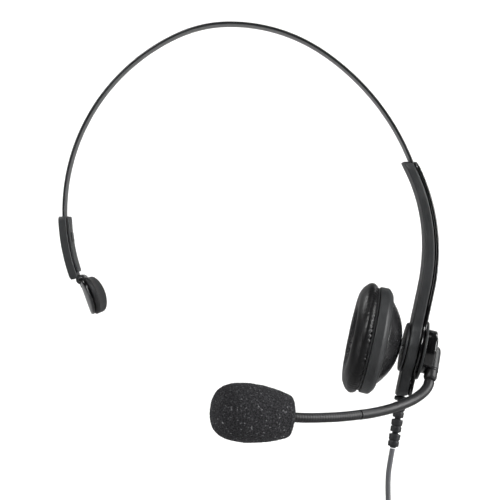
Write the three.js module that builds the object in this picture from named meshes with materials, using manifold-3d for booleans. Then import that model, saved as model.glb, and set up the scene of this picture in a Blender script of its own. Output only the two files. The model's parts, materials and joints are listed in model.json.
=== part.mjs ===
// Single-ear office headset with a boom microphone, worn on the head.
// Millimetres. +X towards the ear cup's side, +Y towards the back of the head, +Z up.
// The origin is the underside of the headband at the crown, in the middle of its width.
import * as THREE from 'three';
import { mergeVertices } from 'three/addons/utils/BufferGeometryUtils.js';
import Module from 'manifold-3d';

const wasm = await Module();
wasm.setup();

// ---------------------------------------------------------------- driving dimensions
const fitGap = 0.3;                // air left between pieces that touch on the real object
const slideGap = 0.35;             // air round the strip where it slides

const band = {
  width: 12,
  thickness: 1.2,
  edgeRound: 0.3,
  crownRadius: { ear: 74.7, temple: 57.0 },      // centreline of the strip
  sideRadius: { ear: 106.8, temple: 87.0 },
  crownAngle: { ear: 34, temple: 25 },           // degrees of crown arc on each side
  endAngle: { ear: 93, temple: 106 },            // degrees from straight up to each strip end
};

const stop = { height: 0.5, base: 1.6, prong: 5, slotHalf: 3.5 };

const arm = {
  halfWidth: 8,
  hubHalfWidth: 11.5,
  footHalfWidth: 6.4,
  outerShift: [26.25, -0.29],                    // arc centres from the strip's side arc centre
  innerShift: [31.05, 2.51],
  outerLess: 22.4,                               // arc radii, less than those of the strip's faces
  innerLess: 32.3,
  innerLowerLess: 14.2,
  topAngle: { outer: 25.6, inner: 29.2 },        // degrees above level
  lean: 12.1,                                     // the straight lower part, from the vertical
  topRise: 39.3,                                 // heights from the strip's side arc centre
  footDrop: 65.69,
  coverThickness: 1.5,
  chamberOutward: 3.4,                           // room outside the strip's centreline
  chamberAngle: { top: 15, bottom: -7 },
  wireDrop: 40.3,
  wireHalfWidth: 2.2,
  wireDepth: 2.2,
  wireRadius: 0.75,
  wireEnd: 4.4,                                  // wire channel's end above the foot
};

const hub = {
  drop: 44.69,                                   // below the strip's side arc centre
  boreRadius: 4.6,
  counterboreRadius: 6.2,
  shoulder: -1.2,
  spindleRadius: 4.25,
  bezelRadius: 13.3,
  bezelThickness: 1.0,
  puckRadius: 10,
  puckThickness: 4.4,
  capRadius: 7.4,
  socketRadius: 3.1,
  socketOffset: 9.6,                             // socket axis from the arm's mid plane
  socketTurn: 27,                                // degrees forward of straight down
  socketFrom: -3.4,
  socketTo: 8.0,
  collarTo: 13.4,
  screwRadius: 1.1,
};

const cup = {
  ballRadius: 2.6,
  ballDepth: 3.9,                                // ball's centre below the dome's apex
  neckRadius: 1.5,
  linerThickness: 0.8,
  wall: 1.5,
  flangeRadius: 11.2,
  flangeThickness: 1.2,
  domeHole: 2.95,
  apexGap: 1.2,                                  // from the flange to the dome's apex
  depth: 14,                                     // from the apex to the ring's front
  ringRadius: 24.3,
  rimInset: 5,
  plateInset: 2.6,
  plateThickness: 1.2,
  retainerThickness: 0.9,
  cushionOverhang: 0.1,
  cushionHole: 12.6,
  cushionDepth: 7.0,
  leather: 0.8,
  feltRadius: 14.2,
};

const temple = {
  halfWidth: 8,
  angle: { top: 1.6, bottom: 20.2 },             // degrees below level
  outward: 1.7,                                  // outer face from the strip's outer face
  inward: 1.9,                                   // inner face from the strip's inner face
  coverThickness: 0.9,
  outerWall: 0.7,
  sideWall: 1.5,
  mouthAngle: 1.8,
  lipAngle: { top: 6.4, bottom: 9.4 },
  lipHeight: 0.5,
  pinRadius: 0.8,
  pinBelow: 0.97,                                // degrees below the holder's end
  pinInward: 2.2,                                // inside the strip's centreline
  earHalf: { from: 5.7, to: 7.6 },
  padTilt: 20,
  padOffset: -1.3,                               // back of the plate from the pin
  padLength: 42,
  padHeight: 16.4,
  padBend: 55,
  shellThickness: 1.5,
  padThickness: 2.6,
  padOverhang: 1.4,                              // cushion's length and height over the shell's
  knuckleRadius: 2.2,
};

const boom = {
  sleeveRadius: 2.2,
  neckRadius: 1.9,
};

const mic = {
  foamRadius: 12.5,
  foamLength: 34,
  foamFrontRadius: 11.2,
  pocketRadius: 4.8,
  pocketDepth: 21,
  housingRadius: 4.4,
  housingLength: 17,
  capsuleRadius: 3.0,
  capsuleLength: 3.2,
};

const cable = {
  radius: 1.2,
  bootRadius: 2.6,
  bootNeck: 1.35,
  bootHold: 1.5,
  bootHead: 2.1,
  bootLean: 9.5,
  coilRadius: 13.2,                              // middle of the turns
  coilHalf: 4.9,                                 // half the bundle's thickness
  coilCentre: [58.2, 0, -242],
  tieThickness: 0.7,
  tieWidth: 4,
};

const plug = {
  bootRadius: { top: 1.9, bottom: 2.9 },
  bootLength: 9,
  bodyRadius: 4.2,
  bodyLength: 15,
  collarRadius: 3.1,
  shankRadius: 1.75,
  shankLength: 14,
};

// ---------------------------------------------------------------- helpers
const rad = (degrees) => degrees * Math.PI / 180;

const finish = {
  steel: { color: 0x1b1c1e, roughness: 0.35, metalness: 0.4 },
  spring: { color: 0x9a9da1, roughness: 0.3, metalness: 1.0 },
  bright: { color: 0xc9cbcc, roughness: 0.2, metalness: 1.0 },
  brass: { color: 0xc9a24a, roughness: 0.3, metalness: 1.0 },
  shell: { color: 0x2c2d2e, roughness: 0.6, metalness: 0.0 },
  gloss: { color: 0x141415, roughness: 0.15, metalness: 0.0 },
  rubber: { color: 0x1e1e1f, roughness: 0.85, metalness: 0.0 },
  leather: { color: 0x151516, roughness: 0.4, metalness: 0.0 },
  foam: { color: 0x3a3a3b, roughness: 1.0, metalness: 0.0 },
  felt: { color: 0x202021, roughness: 1.0, metalness: 0.0 },
  nylon: { color: 0xd9d6cc, roughness: 0.5, metalness: 0.0 },
  film: { color: 0x8f8a7a, roughness: 0.3, metalness: 0.0 },
  cable: { color: 0x5f6062, roughness: 0.6, metalness: 0.0 },
};

function piece(name, geometry, look) {
  const mesh = new THREE.Mesh(geometry, new THREE.MeshStandardMaterial(look));
  mesh.name = name;
  return mesh;
}

// A closed geometry as a solid that can be cut or joined.
function solid(geometry) {
  const bare = geometry.index ? geometry.toNonIndexed() : geometry.clone();
  for (const attribute of ['normal', 'uv', 'color']) {
    bare.deleteAttribute(attribute);
  }
  const merged = mergeVertices(bare, 1e-4);
  return new wasm.Manifold(new wasm.Mesh({
    numProp: 3,
    vertProperties: new Float32Array(merged.attributes.position.array),
    triVerts: new Uint32Array(merged.index.array),
  }));
}

function surface(manifold) {
  const mesh = manifold.getMesh();
  const geometry = new THREE.BufferGeometry();
  geometry.setAttribute('position', new THREE.BufferAttribute(mesh.vertProperties, 3));
  geometry.setIndex(new THREE.BufferAttribute(mesh.triVerts, 1));
  return geometry;
}

// The outline lies in X and Z, and the solid is centred on Y = 0.
function slab(points, halfWidth, round = 0) {
  const shape = new THREE.Shape(points.map(([x, z]) => new THREE.Vector2(x, z)));
  const geometry = new THREE.ExtrudeGeometry(shape, {
    depth: 2 * (halfWidth - round),
    steps: 1,
    curveSegments: 8,
    bevelEnabled: round > 0,
    bevelThickness: round,
    bevelSize: round,
    bevelOffset: -round,
    bevelSegments: 1,
  });
  geometry.translate(0, 0, -(halfWidth - round));
  return geometry.rotateX(Math.PI / 2);
}

// The outline lies in Y and Z, and the solid runs along X from one place to the other.
function plate(points, from, to, holes = []) {
  const shape = new THREE.Shape(points.map(([y, z]) => new THREE.Vector2(y, z)));
  for (const hole of holes) {
    shape.holes.push(new THREE.Path(hole.map(([y, z]) => new THREE.Vector2(y, z))));
  }
  const geometry = new THREE.ExtrudeGeometry(shape, { depth: to - from, steps: 1, bevelEnabled: false });
  geometry.applyMatrix4(new THREE.Matrix4().makeBasis(
    new THREE.Vector3(0, 1, 0), new THREE.Vector3(0, 0, 1), new THREE.Vector3(1, 0, 0)));
  return geometry.translate(from, 0, 0);
}

// Twice the area inside a closed list of points, above zero where it runs anticlockwise.
function doubleArea(points) {
  let sum = 0;
  points.forEach(([a, b], i) => {
    const [c, d] = points[(i + 1) % points.length];
    sum += a * d - b * c;
  });
  return sum;
}

// A turned solid about X. Its profile is a list of [x, radius] that closes on itself or on the axis.
function turned(profile, segments = 32) {
  const ordered = doubleArea(profile) < 0 ? profile : [...profile].reverse();
  const points = ordered.map(([x, r]) => new THREE.Vector2(r, x));
  const onAxis = ordered[0][1] === 0 && ordered[ordered.length - 1][1] === 0;
  if (!onAxis) {
    points.push(points[0].clone());
  }
  return new THREE.LatheGeometry(points, segments).rotateZ(-Math.PI / 2);
}

function rod(from, to, radius, segments = 20) {
  return turned([[from, 0], [from, radius], [to, radius], [to, 0]], segments);
}

function ring(from, to, inner, outer, segments = 32) {
  return turned([[from, inner], [from, outer], [to, outer], [to, inner]], segments);
}

// Points on an arc about a centre, in degrees above level, both ends included.
function arc([cx, cz], radius, fromDegrees, toDegrees, steps) {
  const points = [];
  for (let i = 0; i <= steps; i += 1) {
    const a = rad(fromDegrees + (toDegrees - fromDegrees) * i / steps);
    points.push([cx + radius * Math.cos(a), cz + radius * Math.sin(a)]);
  }
  return points;
}

function circle(radius, sides, [cy, cz] = [0, 0]) {
  return arc([cy, cz], radius, 0, 360 * (sides - 1) / sides, sides - 1);
}

// A tube with the same round section all along a smooth curve through its points.
function tube(points, radius, sides, steps) {
  const curve = new THREE.CatmullRomCurve3(points.map((p) => new THREE.Vector3(...p)), false, 'centripetal');
  const section = new THREE.Shape(circle(radius, sides).map(([a, b]) => new THREE.Vector2(a, b)));
  return new THREE.ExtrudeGeometry(section, { steps, bevelEnabled: false, extrudePath: curve });
}

// ---------------------------------------------------------------- headband
const bandZ = band.thickness / 2;

function bandArcs(side) {
  const way = side === 'ear' ? 1 : -1;
  const turn = rad(band.crownAngle[side]);
  const crown = band.crownRadius[side];
  const flank = band.sideRadius[side];
  const crownCentre = [0, bandZ - crown];
  const sideCentre = [
    crownCentre[0] + way * (crown - flank) * Math.sin(turn),
    crownCentre[1] + (crown - flank) * Math.cos(turn),
  ];
  return { way, crownCentre, sideCentre };
}

const earSide = bandArcs('ear');
const templeSide = bandArcs('temple');

// One side of the strip, from the crown down, at a given distance outside the centreline.
function bandSide(side, outward) {
  const { way, crownCentre, sideCentre } = bandArcs(side);
  const turn = band.crownAngle[side];
  const up = (degrees) => 90 - way * degrees;
  const crown = arc(crownCentre, band.crownRadius[side] + outward, up(0), up(turn), 9);
  const flank = arc(sideCentre, band.sideRadius[side] + outward, up(turn), up(band.endAngle[side]), 18);
  return [...crown, ...flank.slice(1)];
}

function headbandStrip() {
  const half = band.thickness / 2;
  const outer = [...bandSide('temple', half).reverse(), ...bandSide('ear', half).slice(1)];
  const inner = [...bandSide('ear', -half).reverse(), ...bandSide('temple', -half).slice(1)];
  return slab([...outer, ...inner], band.width / 2, band.edgeRound);
}

// A bar that follows the strip's side arc, at two distances from its centreline.
function bandBar(side, low, high, fromEnd, length, halfWidth) {
  const { way, sideCentre } = bandArcs(side);
  const radius = band.sideRadius[side];
  const end = band.endAngle[side] - fromEnd / radius * 180 / Math.PI;
  const start = end - length / radius * 180 / Math.PI;
  const up = (degrees) => 90 - way * degrees;
  return slab([
    ...arc(sideCentre, radius + high, up(start), up(end), 2),
    ...arc(sideCentre, radius + low, up(end), up(start), 2),
  ], halfWidth);
}

// A clip over the strip's end, with two prongs on its outer side that straddle the spring.
function bandStopEar() {
  const face = band.thickness / 2;
  const high = face + fitGap + stop.height;
  const across = band.width / 2 - 0.4;
  const base = solid(bandBar('ear', -face, high, -fitGap - stop.base, stop.base, across));
  const prongs = solid(bandBar('ear', face + fitGap, high, -fitGap - 0.1, stop.prong, across));
  const slot = solid(bandBar('ear', face - 2, high + 2, -fitGap, stop.prong + 2, stop.slotHalf));
  return surface(prongs.subtract(slot).add(base));
}

// A low bead on the outer side of the strip, just short of its end.
function bandStopTemple() {
  const low = band.thickness / 2 + fitGap;
  return bandBar('temple', low, low + 0.45, 0.6, 3, band.width / 2 - 1);
}

// ---------------------------------------------------------------- arm on the ear side
const lean = rad(arm.lean);

const [earX, earLevel] = earSide.sideCentre;
const outerCentre = [earX + arm.outerShift[0], earLevel + arm.outerShift[1]];
const innerCentre = [earX + arm.innerShift[0], earLevel + arm.innerShift[1]];
const outerRadius = band.sideRadius.ear + bandZ - arm.outerLess;
const innerRadius = band.sideRadius.ear - bandZ - arm.innerLess;
const innerLowerRadius = band.sideRadius.ear - bandZ - arm.innerLowerLess;
const footHeight = earLevel - arm.footDrop;
const hubHeight = earLevel - hub.drop;

function alongArm(start, toHeight) {
  const drop = start[1] - toHeight;
  return [start[0] - drop * Math.tan(lean), toHeight];
}

// The outer edge from top to foot, at a distance inside the outer face.
function armOuter(inset, steps = 12) {
  const curve = arc(outerCentre, outerRadius - inset, arm.topAngle.outer, -arm.lean, steps);
  return [...curve, alongArm(curve[curve.length - 1], footHeight)];
}

// The inner edge from top to foot, at a distance outside the inner face.
function armInner(inset, steps = 6) {
  const upper = arc(innerCentre, innerRadius + inset, arm.topAngle.inner, 0, steps);
  const level = innerCentre[0] + innerRadius - innerLowerRadius;
  const lower = arc([level, innerCentre[1]], innerLowerRadius + inset, 0, -arm.lean, 4);
  const curve = [...upper, ...lower.slice(1)];
  return [...curve, alongArm(curve[curve.length - 1], footHeight)];
}

// The middle of the arm's thickness at the hub's height, and half the thickness square to the arm.
function edgeAt(edge, height) {
  return alongArm(edge[edge.length - 2], height)[0];
}

const hubOuterX = edgeAt(armOuter(0), hubHeight);
const hubInnerX = edgeAt(armInner(0), hubHeight);
const hubCentre = [(hubOuterX + hubInnerX) / 2, hubHeight];
const armHalf = (hubOuterX - hubInnerX) / 2 * Math.cos(lean);

// The arm seen from the side: a tongue with a round hub and a rounded foot.
function armSideOutline() {
  const hubZ = hubHeight;
  const topZ = earLevel + arm.topRise;
  const corner = 4;
  const half = arm.halfWidth;
  const joinTop = Math.sqrt(arm.hubHalfWidth ** 2 - half ** 2);
  const blendTop = 9;
  const foot = arm.footHalfWidth;
  const joinFoot = Math.sqrt(arm.hubHalfWidth ** 2 - foot ** 2);
  const hubTop = Math.atan2(joinTop, half) * 180 / Math.PI;
  const hubFoot = Math.atan2(-joinFoot, foot) * 180 / Math.PI;
  const right = [
    ...arc([half - corner, topZ - corner], corner, 90, 0, 4),
    [half, hubZ + joinTop + blendTop],
    ...arc([0, hubZ], arm.hubHalfWidth, hubTop - 12, hubFoot + 14, 8),
    [foot, hubZ - joinFoot - 5],
    ...arc([foot - 3, footHeight + 2.4], 3, 0, -90, 3),
  ];
  const left = right.map(([y, z]) => [-y, z]).reverse();
  return [...right, ...left];
}

function armBlank(outline) {
  return solid(slab(outline, 20)).intersect(solid(plate(armSideOutline(), outerCentre[0], 200)));
}

function hubLocal(geometry) {
  const placed = geometry.clone().rotateY(lean);
  return placed.translate(hubCentre[0], 0, hubCentre[1]);
}

function armShell() {
  const seam = arm.coverThickness + fitGap;
  const blank = armBlank([...armOuter(seam), ...armInner(0).reverse()]);
  const inside = band.sideRadius.ear - band.thickness / 2 - slideGap;
  const mouthTop = band.sideRadius.ear + band.thickness / 2 + slideGap;
  const centre = earSide.sideCentre;
  const pocketHalf = band.width / 2 + slideGap;
  const mouth = slab([
    ...arc(centre, inside, arm.chamberAngle.top - 1, 32, 6),
    ...arc(centre, mouthTop, 32, arm.chamberAngle.top - 1, 6),
  ], pocketHalf);
  const chamberTop = band.sideRadius.ear + arm.chamberOutward + 8;
  const chamber = slab([
    ...arc(centre, inside, arm.chamberAngle.bottom, arm.chamberAngle.top, 8),
    ...arc(centre, chamberTop, arm.chamberAngle.top, arm.chamberAngle.bottom, 8),
  ], pocketHalf);
  const wires = slab([
    channelPoint(-3, earLevel - arm.wireDrop), channelPoint(-3, footHeight + arm.wireEnd),
    channelPoint(seam + arm.wireDepth, footHeight + arm.wireEnd),
    channelPoint(seam + arm.wireDepth, earLevel - arm.wireDrop),
  ], arm.wireHalfWidth);
  let body = blank.subtract(solid(mouth)).subtract(solid(chamber)).subtract(solid(wires));
  for (const cut of [
    rod(-20, 20, hub.boreRadius, 24),
    rod(-20, hub.shoulder, hub.counterboreRadius, 24),
  ]) {
    body = body.subtract(solid(hubLocal(cut)));
  }
  for (const cut of [
    rod(-4, 4, cable.bootHold + fitGap, 16),
    rod(-6.5, -1.9, cable.bootHead + fitGap, 16),
  ]) {
    body = body.subtract(solid(bootLocal(cut)));
  }
  for (const place of armScrews) {
    body = body.subtract(solid(screwPlace(rod(-5.8, 1, 1.1, 12), place)));
  }
  return surface(body);
}

// A place on the straight lower arm, at a distance inside the outer face.
function channelPoint(inset, height) {
  return [edgeAt(armOuter(inset), height), height];
}

function armCover() {
  let body = armBlank([...armOuter(0), ...armOuter(arm.coverThickness).reverse()]);
  body = body.subtract(solid(hubLocal(rod(-20, 20, hub.boreRadius, 24))));
  for (const place of armScrews) {
    body = body.subtract(solid(screwPlace(rod(-4, 6, 1.1, 12), place)));
    body = body.subtract(solid(screwPlace(rod(-0.9, 6, 1.8, 14), place)));
  }
  return surface(body);
}

// The cover's screws go in square to the outer face. Local X runs outwards from that face.
const armScrews = [{ y: 0, z: earLevel - 20.3 }, { y: -3.9, z: footHeight + 5.8 }];

function screwPlace(geometry, { y, z }) {
  return geometry.clone().rotateY(lean).translate(edgeAt(armOuter(0), z), y, z);
}

function screw(headFrom, headTo, shankTo, headRadius, shankRadius) {
  return turned([
    [shankTo, 0], [shankTo + 0.6, shankRadius], [headFrom, shankRadius], [headFrom, headRadius],
    [headTo - 0.25, headRadius], [headTo, headRadius * 0.8], [headTo, headRadius * 0.45],
    [headTo - 0.5, 0],
  ], 14);
}

// A bowed leaf between the strip and the cover, near the top of the chamber.
function armDetentSpring() {
  const centre = earSide.sideCentre;
  const low = band.sideRadius.ear + band.thickness / 2 + slideGap;
  const [bottom, foot, crown, top] = [8.8, 10.4, 12.6, 14.2];
  const outline = [
    ...arc(centre, low + 0.5, bottom, foot, 1),
    ...arc(centre, low + 0.05, foot + 0.7, crown - 0.7, 1),
    ...arc(centre, low + 0.5, crown, top, 1),
    ...arc(centre, low + 0.8, top, crown, 1),
    ...arc(centre, low + 0.35, crown - 0.7, foot + 0.7, 1),
    ...arc(centre, low + 0.8, foot, bottom, 1),
  ];
  return slab(outline, 3);
}

// ---------------------------------------------------------------- strain relief and cable
const footInward = 0.68;                       // boot's axis inside the arm's middle
const footCentre = [
  hubCentre[0] - (hubHeight - footHeight - 0.2) * Math.tan(lean) - footInward,
  footHeight + 0.2,
];
const bootLean = rad(cable.bootLean);

// Local X runs down the boot's axis from the foot of the arm.
function bootLocal(geometry) {
  const placed = geometry.clone().rotateY(Math.PI / 2 + bootLean);
  return placed.translate(footCentre[0], 0, footCentre[1]);
}

function strainReliefBoot() {
  const r = cable.bootRadius;
  const neck = cable.bootNeck;
  const { bootHead: head, bootHold: hold } = cable;
  const profile = [[-3.2, 0], [-3.2, head], [-2.2, head], [-2.2, hold], [0.7, hold],
    [0.7, r + 0.4], [2.4, r + 0.4], [2.9, neck]];
  for (const start of [4.4, 11.0, 17.6]) {
    profile.push([start, neck], [start + 0.3, r], [start + 2.6, r - 0.05], [start + 2.9, r - 0.4]);
    profile.push([start + 3.3, r - 0.4], [start + 3.6, r - 0.1], [start + 5.7, r - 0.15]);
    profile.push([start + 6.0, neck]);
  }
  profile.push([24.1, neck], [24.1, 0]);
  return bootLocal(turned(profile, 12));
}

// The wires from the ear and the microphone, run together in the arm's channel.
function armWires() {
  const inset = arm.coverThickness + fitGap + arm.wireDepth / 2;
  const top = channelPoint(inset, hubHeight - hub.boreRadius - 2.4);
  const bottom = channelPoint(inset, footHeight + arm.wireEnd + 0.6);
  const points = [0, 1 / 3, 2 / 3, 1].map((t) => [
    top[0] + (bottom[0] - top[0]) * t, 0.5 * Math.sin(3 * Math.PI * t), top[1] + (bottom[1] - top[1]) * t]);
  return tube(points, arm.wireRadius, 8, 6);
}

// Hand-set routes are written for this hub centre, and follow the hub if it moves.
const routeHub = [82.342, -145.4];

function withHub([x, y, z]) {
  return [x + hubCentre[0] - routeHub[0], y, z + hubCentre[1] - routeHub[1]];
}

const cablePoints = [
  [73.1, 0, -190.4],
  [72.4, 0, -194.2],
  [71.8, 0, -197.8],
  [71.3, 0, -201.6],
  [71.1, 0, -205.4],
  [71.1, 0, -209.4],
  [71.2, 0, -213.8],
  [71.3, 0, -218.2],
  [71.4, 0, -222.6],
  [71.4, 0, -227.4],
].map(withHub);

const tailPoints = [
  [71.6, 0, -258.0],
  [71.4, 0, -262.0],
  [71.0, 0, -266.0],
  [70.8, 0, -270.0],
].map(withHub);
const coilCentre = withHub(cable.coilCentre);

function cableCoil() {
  const half = cable.coilHalf;
  const cut = half * 0.42;
  const mid = cable.coilRadius;
  const geometry = new THREE.LatheGeometry([
    [mid - half, -half + cut], [mid - half + cut, -half], [mid + half - cut, -half],
    [mid + half, -half + cut], [mid + half, half - cut], [mid + half - cut, half],
    [mid - half + cut, half], [mid - half, half - cut], [mid - half, -half + cut],
  ].map(([r, y]) => new THREE.Vector2(r, y)), 28);
  return geometry.translate(...coilCentre);
}

function cableTie() {
  const inner = cable.coilHalf * 1.16 + fitGap;
  const geometry = ring(-cable.tieWidth / 2, cable.tieWidth / 2, inner, inner + cable.tieThickness, 16);
  const [x, y, z] = coilCentre;
  return geometry.rotateY(Math.PI / 2).translate(x - cable.coilRadius, y, z);
}

// ---------------------------------------------------------------- plug, hanging straight down
const plugTop = withHub([70.8, 0, -270.3]);

function plugLocal(geometry) {
  return geometry.rotateY(Math.PI / 2).translate(...plugTop);
}

function plugBoot() {
  const { top, bottom } = plug.bootRadius;
  const profile = [[0, 0], [0, top]];
  for (let i = 0; i < 3; i += 1) {
    const x = 1.6 + i * 2.4;
    const r = top + (bottom - top) * (i + 1) / 3;
    profile.push([x, r], [x + 0.3, r - 0.5], [x + 0.9, r - 0.5], [x + 1.2, r]);
  }
  profile.push([plug.bootLength, bottom], [plug.bootLength, 0]);
  return plugLocal(turned(profile, 14));
}

function plugBody() {
  const from = plug.bootLength + fitGap;
  const to = from + plug.bodyLength;
  const r = plug.bodyRadius;
  return plugLocal(turned([[from, 0], [from, r - 0.8], [from + 0.8, r], [to - 1.2, r], [to - 0.4, r - 0.7],
    [to, r - 0.9], [to, 0]], 20));
}

function plugShank() {
  const from = plug.bootLength + plug.bodyLength + 2 * fitGap;
  const r = plug.shankRadius;
  const tip = from + plug.shankLength;
  return plugLocal(turned([[from, 0], [from, plug.collarRadius], [from + 1.0, plug.collarRadius],
    [from + 1.0, r], [tip - 7.4, r], [tip - 7.4, r - 0.12], [tip - 6.8, r - 0.12], [tip - 6.8, r],
    [tip - 4.6, r], [tip - 4.6, r - 0.12], [tip - 4.0, r - 0.12], [tip - 4.0, r], [tip - 3.0, r - 0.45],
    [tip - 1.6, r], [tip, 0.4], [tip, 0]], 16));
}

// ---------------------------------------------------------------- ear cup, about the hub's axis
const flangeInner = -armHalf - fitGap;
const flangeOuter = flangeInner - cup.flangeThickness;
const cupApex = flangeOuter - cup.apexGap;
const ballCentre = cupApex - cup.ballDepth;
const ringFront = cupApex - cup.depth;
const rimRadius = cup.ringRadius - cup.rimInset;
const plateRadius = cup.ringRadius - cup.plateInset;
const cushionRadius = cup.ringRadius + cup.cushionOverhang;
const studStep = flangeInner - 0.75;

function ballStud() {
  const c = ballCentre;
  const profile = [[c - cup.ballRadius, 0]];
  const neckAngle = 180 - Math.asin(cup.neckRadius / cup.ballRadius) * 180 / Math.PI;
  for (const [x, r] of arc([c, 0], cup.ballRadius, 180, 180 - neckAngle, 7).slice(1)) {
    profile.push([x, r]);
  }
  profile.push([studStep, cup.neckRadius], [studStep, 2.8], [studStep + 0.6, 2.8], [studStep + 0.6, 0]);
  return turned(profile, 20);
}

function ballLiner() {
  const inner = cup.ballRadius + fitGap;
  const outer = inner + cup.linerThickness;
  return turned([
    ...arc([ballCentre, 0], inner, 46, 122, 5),
    ...arc([ballCentre, 0], outer, 122, 46, 5),
  ], 20);
}

function pivotFlange() {
  const inner = flangeInner;
  const outer = flangeOuter;
  const seat = studStep - fitGap;
  return turned([[outer - 0.05, 1.8], [outer - 0.05, cup.flangeRadius - 0.3], [outer + 0.25, cup.flangeRadius],
    [inner, cup.flangeRadius], [inner, 3.1], [seat, 3.1], [seat, 1.8]], 32);
}

function cupBack() {
  const seat = cup.ballRadius + 2 * fitGap + cup.linerThickness;
  const a = cupApex;
  const rim = rimRadius;
  const w = cup.wall;
  const hole = Math.asin(cup.domeHole / seat) * 180 / Math.PI;
  const seatArc = arc([ballCentre, 0], seat, hole, 98, 5);
  return turned([
    [a, cup.domeHole], [a - 0.15, rim * 0.28], [a - 1.2, rim * 0.487], [a - 2.8, rim * 0.674],
    [a - 4.7, rim * 0.829], [a - 6.6, rim * 0.953], [a - 7.6, rim], [a - 9.3, rim], [a - 9.3, rim + 2.4], [a - 10.6, rim + 2.4],
    [a - 10.6, rim - w], [a - 8.0, rim - w - 0.3], [a - 5.6, rim * 0.756], [a - 3.6, rim * 0.549], [a - 2.6, 5.9],
    [a - 5.2, 5.6],
    ...seatArc.reverse(),
  ], 28);
}

function cupRing() {
  const r = cup.ringRadius;
  const f = ringFront;
  const bore = plateRadius + fitGap;
  return turned([[f, bore], [f, r - 0.6], [f + 0.6, r], [f + 3.8, r], [f + 4.6, r - 0.5], [f + 6.2, r - 2.4],
    [f + 6.6, rimRadius + fitGap], [f + 5.0, rimRadius + fitGap], [f + 5.0, bore]], 36);
}

function speakerFrame() {
  const f = ringFront;
  const rim = plateRadius - 0.9;
  return turned([[f + 1.5, 13.6], [f + 1.5, rim], [f + 2.3, rim], [f + 2.3, 15.4], [f + 3.8, 13.2],
    [f + 5.1, 9.6], [f + 5.1, 4.2], [f + 4.5, 4.2], [f + 4.5, 9.2], [f + 3.1, 12.6]], 28);
}

function speakerMagnet() {
  const f = ringFront;
  return turned([[f + 5.4, 0], [f + 5.4, 8.2], [f + 5.7, 8.5], [f + 6.8, 8.5], [f + 7.1, 8.2],
    [f + 7.1, 0]], 20);
}

function voiceCoil() {
  return ring(ringFront + 2.0, ringFront + 4.1, 4.6, 5.1, 20);
}

function speakerDiaphragm() {
  const front = [[1.8, 0], [1.95, 2.6], [1.35, 5.2], [1.75, 8.4], [1.5, 13.2]];
  const back = [[1.8, 13.2], [2.05, 8.4], [1.65, 5.2], [2.25, 2.6], [2.1, 0]];
  return turned([...front, ...back].map(([x, r]) => [ringFront + x, r]), 24);
}

function speakerBaffle() {
  const holes = [circle(0.9, 8)];
  for (const [count, radius] of [[6, 4.2], [6, 8.4]]) {
    for (let i = 0; i < count; i += 1) {
      const a = rad(360 * i / count);
      holes.push(circle(0.9, 8, [radius * Math.cos(a), radius * Math.sin(a)]));
    }
  }
  const front = ringFront;
  return plate(circle(plateRadius, 32), front, front + cup.plateThickness, holes);
}

function cushionRetainer() {
  const back = ringFront - fitGap;
  const front = back - cup.retainerThickness;
  return ring(front, back, cup.feltRadius + fitGap, cup.ringRadius - 0.8, 32);
}

function acousticFelt() {
  const back = ringFront - fitGap;
  return rod(back - cup.retainerThickness, back, cup.feltRadius, 28);
}

// The cushion's section: a soft D with a flat face, open at the back where the foam goes in.
function cushionCover() {
  const back = ringFront - 2 * fitGap - cup.retainerThickness;
  const at = (share) => back - share * cup.cushionDepth;
  const face = at(1);
  const r = cushionRadius;
  const h = cup.cushionHole;
  const t = cup.leather;
  return turned([
    [back, r - 5.2], [back, r - 1.2], [at(0.17), r - 0.2], [at(0.41), r], [at(0.65), r - 0.7],
    [at(0.89), r - 2.7], [face, r - 5.2], [face, h + 2.4], [at(0.87), h + 0.6], [at(0.6), h],
    [back, h], [back, h + 2.6], [back - t, h + 2.6], [back - t, h + t], [at(0.57), h + t],
    [at(0.8), h + t + 0.5], [face + t, h + 2.8], [face + t, r - 5.5], [at(0.81), r - 3.3],
    [at(0.61), r - 1.5], [at(0.41), r - t], [at(0.22), r - t - 0.2], [back - t, r - 2],
    [back - t, r - 5.2],
  ], 28);
}

function cushionFoam() {
  const back = ringFront - 3 * fitGap - cup.retainerThickness - cup.leather;
  const at = (share) => back - share * cup.cushionDepth;
  const face = ringFront - 2 * fitGap - cup.retainerThickness - cup.cushionDepth;
  const inner = cup.cushionHole + cup.leather + 0.4;
  const outer = cushionRadius - cup.leather - 0.5;
  const front = face + cup.leather + 0.4;
  return turned([[back, inner], [back, outer - 1.4], [at(0.14), outer - 0.5], [at(0.34), outer - 1.1],
    [at(0.54), outer - 2.8], [front, outer - 5.0], [front, inner + 2.2], [at(0.56), inner + 0.8],
    [at(0.4), inner]], 28);
}

// ---------------------------------------------------------------- boom hub, about the hub's axis
const socketTurn = rad(hub.socketTurn);
const puckFrom = armHalf + 2 * fitGap + hub.bezelThickness;

// Local X becomes the boom socket's axis, pointing down the boom.
function socketLocal(geometry) {
  const placed = geometry.clone().rotateY(Math.PI / 2).rotateX(-socketTurn);
  return placed.translate(hub.socketOffset, 0, 0);
}

function hubBezel() {
  const from = armHalf + fitGap;
  const to = from + hub.bezelThickness;
  return turned([[from, hub.boreRadius], [from, hub.bezelRadius], [to - 0.3, hub.bezelRadius],
    [to, hub.bezelRadius - 0.4], [to, hub.boreRadius]], 32);
}

function hubPuck() {
  const from = puckFrom;
  const to = from + hub.puckThickness;
  const r = hub.puckRadius;
  const body = solid(turned([[hub.shoulder - 0.1, 1.5], [hub.shoulder - 0.1, hub.spindleRadius],
    [from, hub.spindleRadius], [from, r - 0.2], [from + 0.2, r], [to - 0.6, r], [to, r - 0.6],
    [to, hub.capRadius + fitGap], [to - 1.0, hub.capRadius + fitGap], [to - 1.0, 0], [to - 2.4, 0],
    [to - 2.4, 1.5]].reverse(), 32));
  const clear = socketLocal(rod(hub.socketFrom - fitGap, 22, hub.socketRadius + fitGap, 20));
  return surface(body.subtract(solid(clear)));
}

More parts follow.
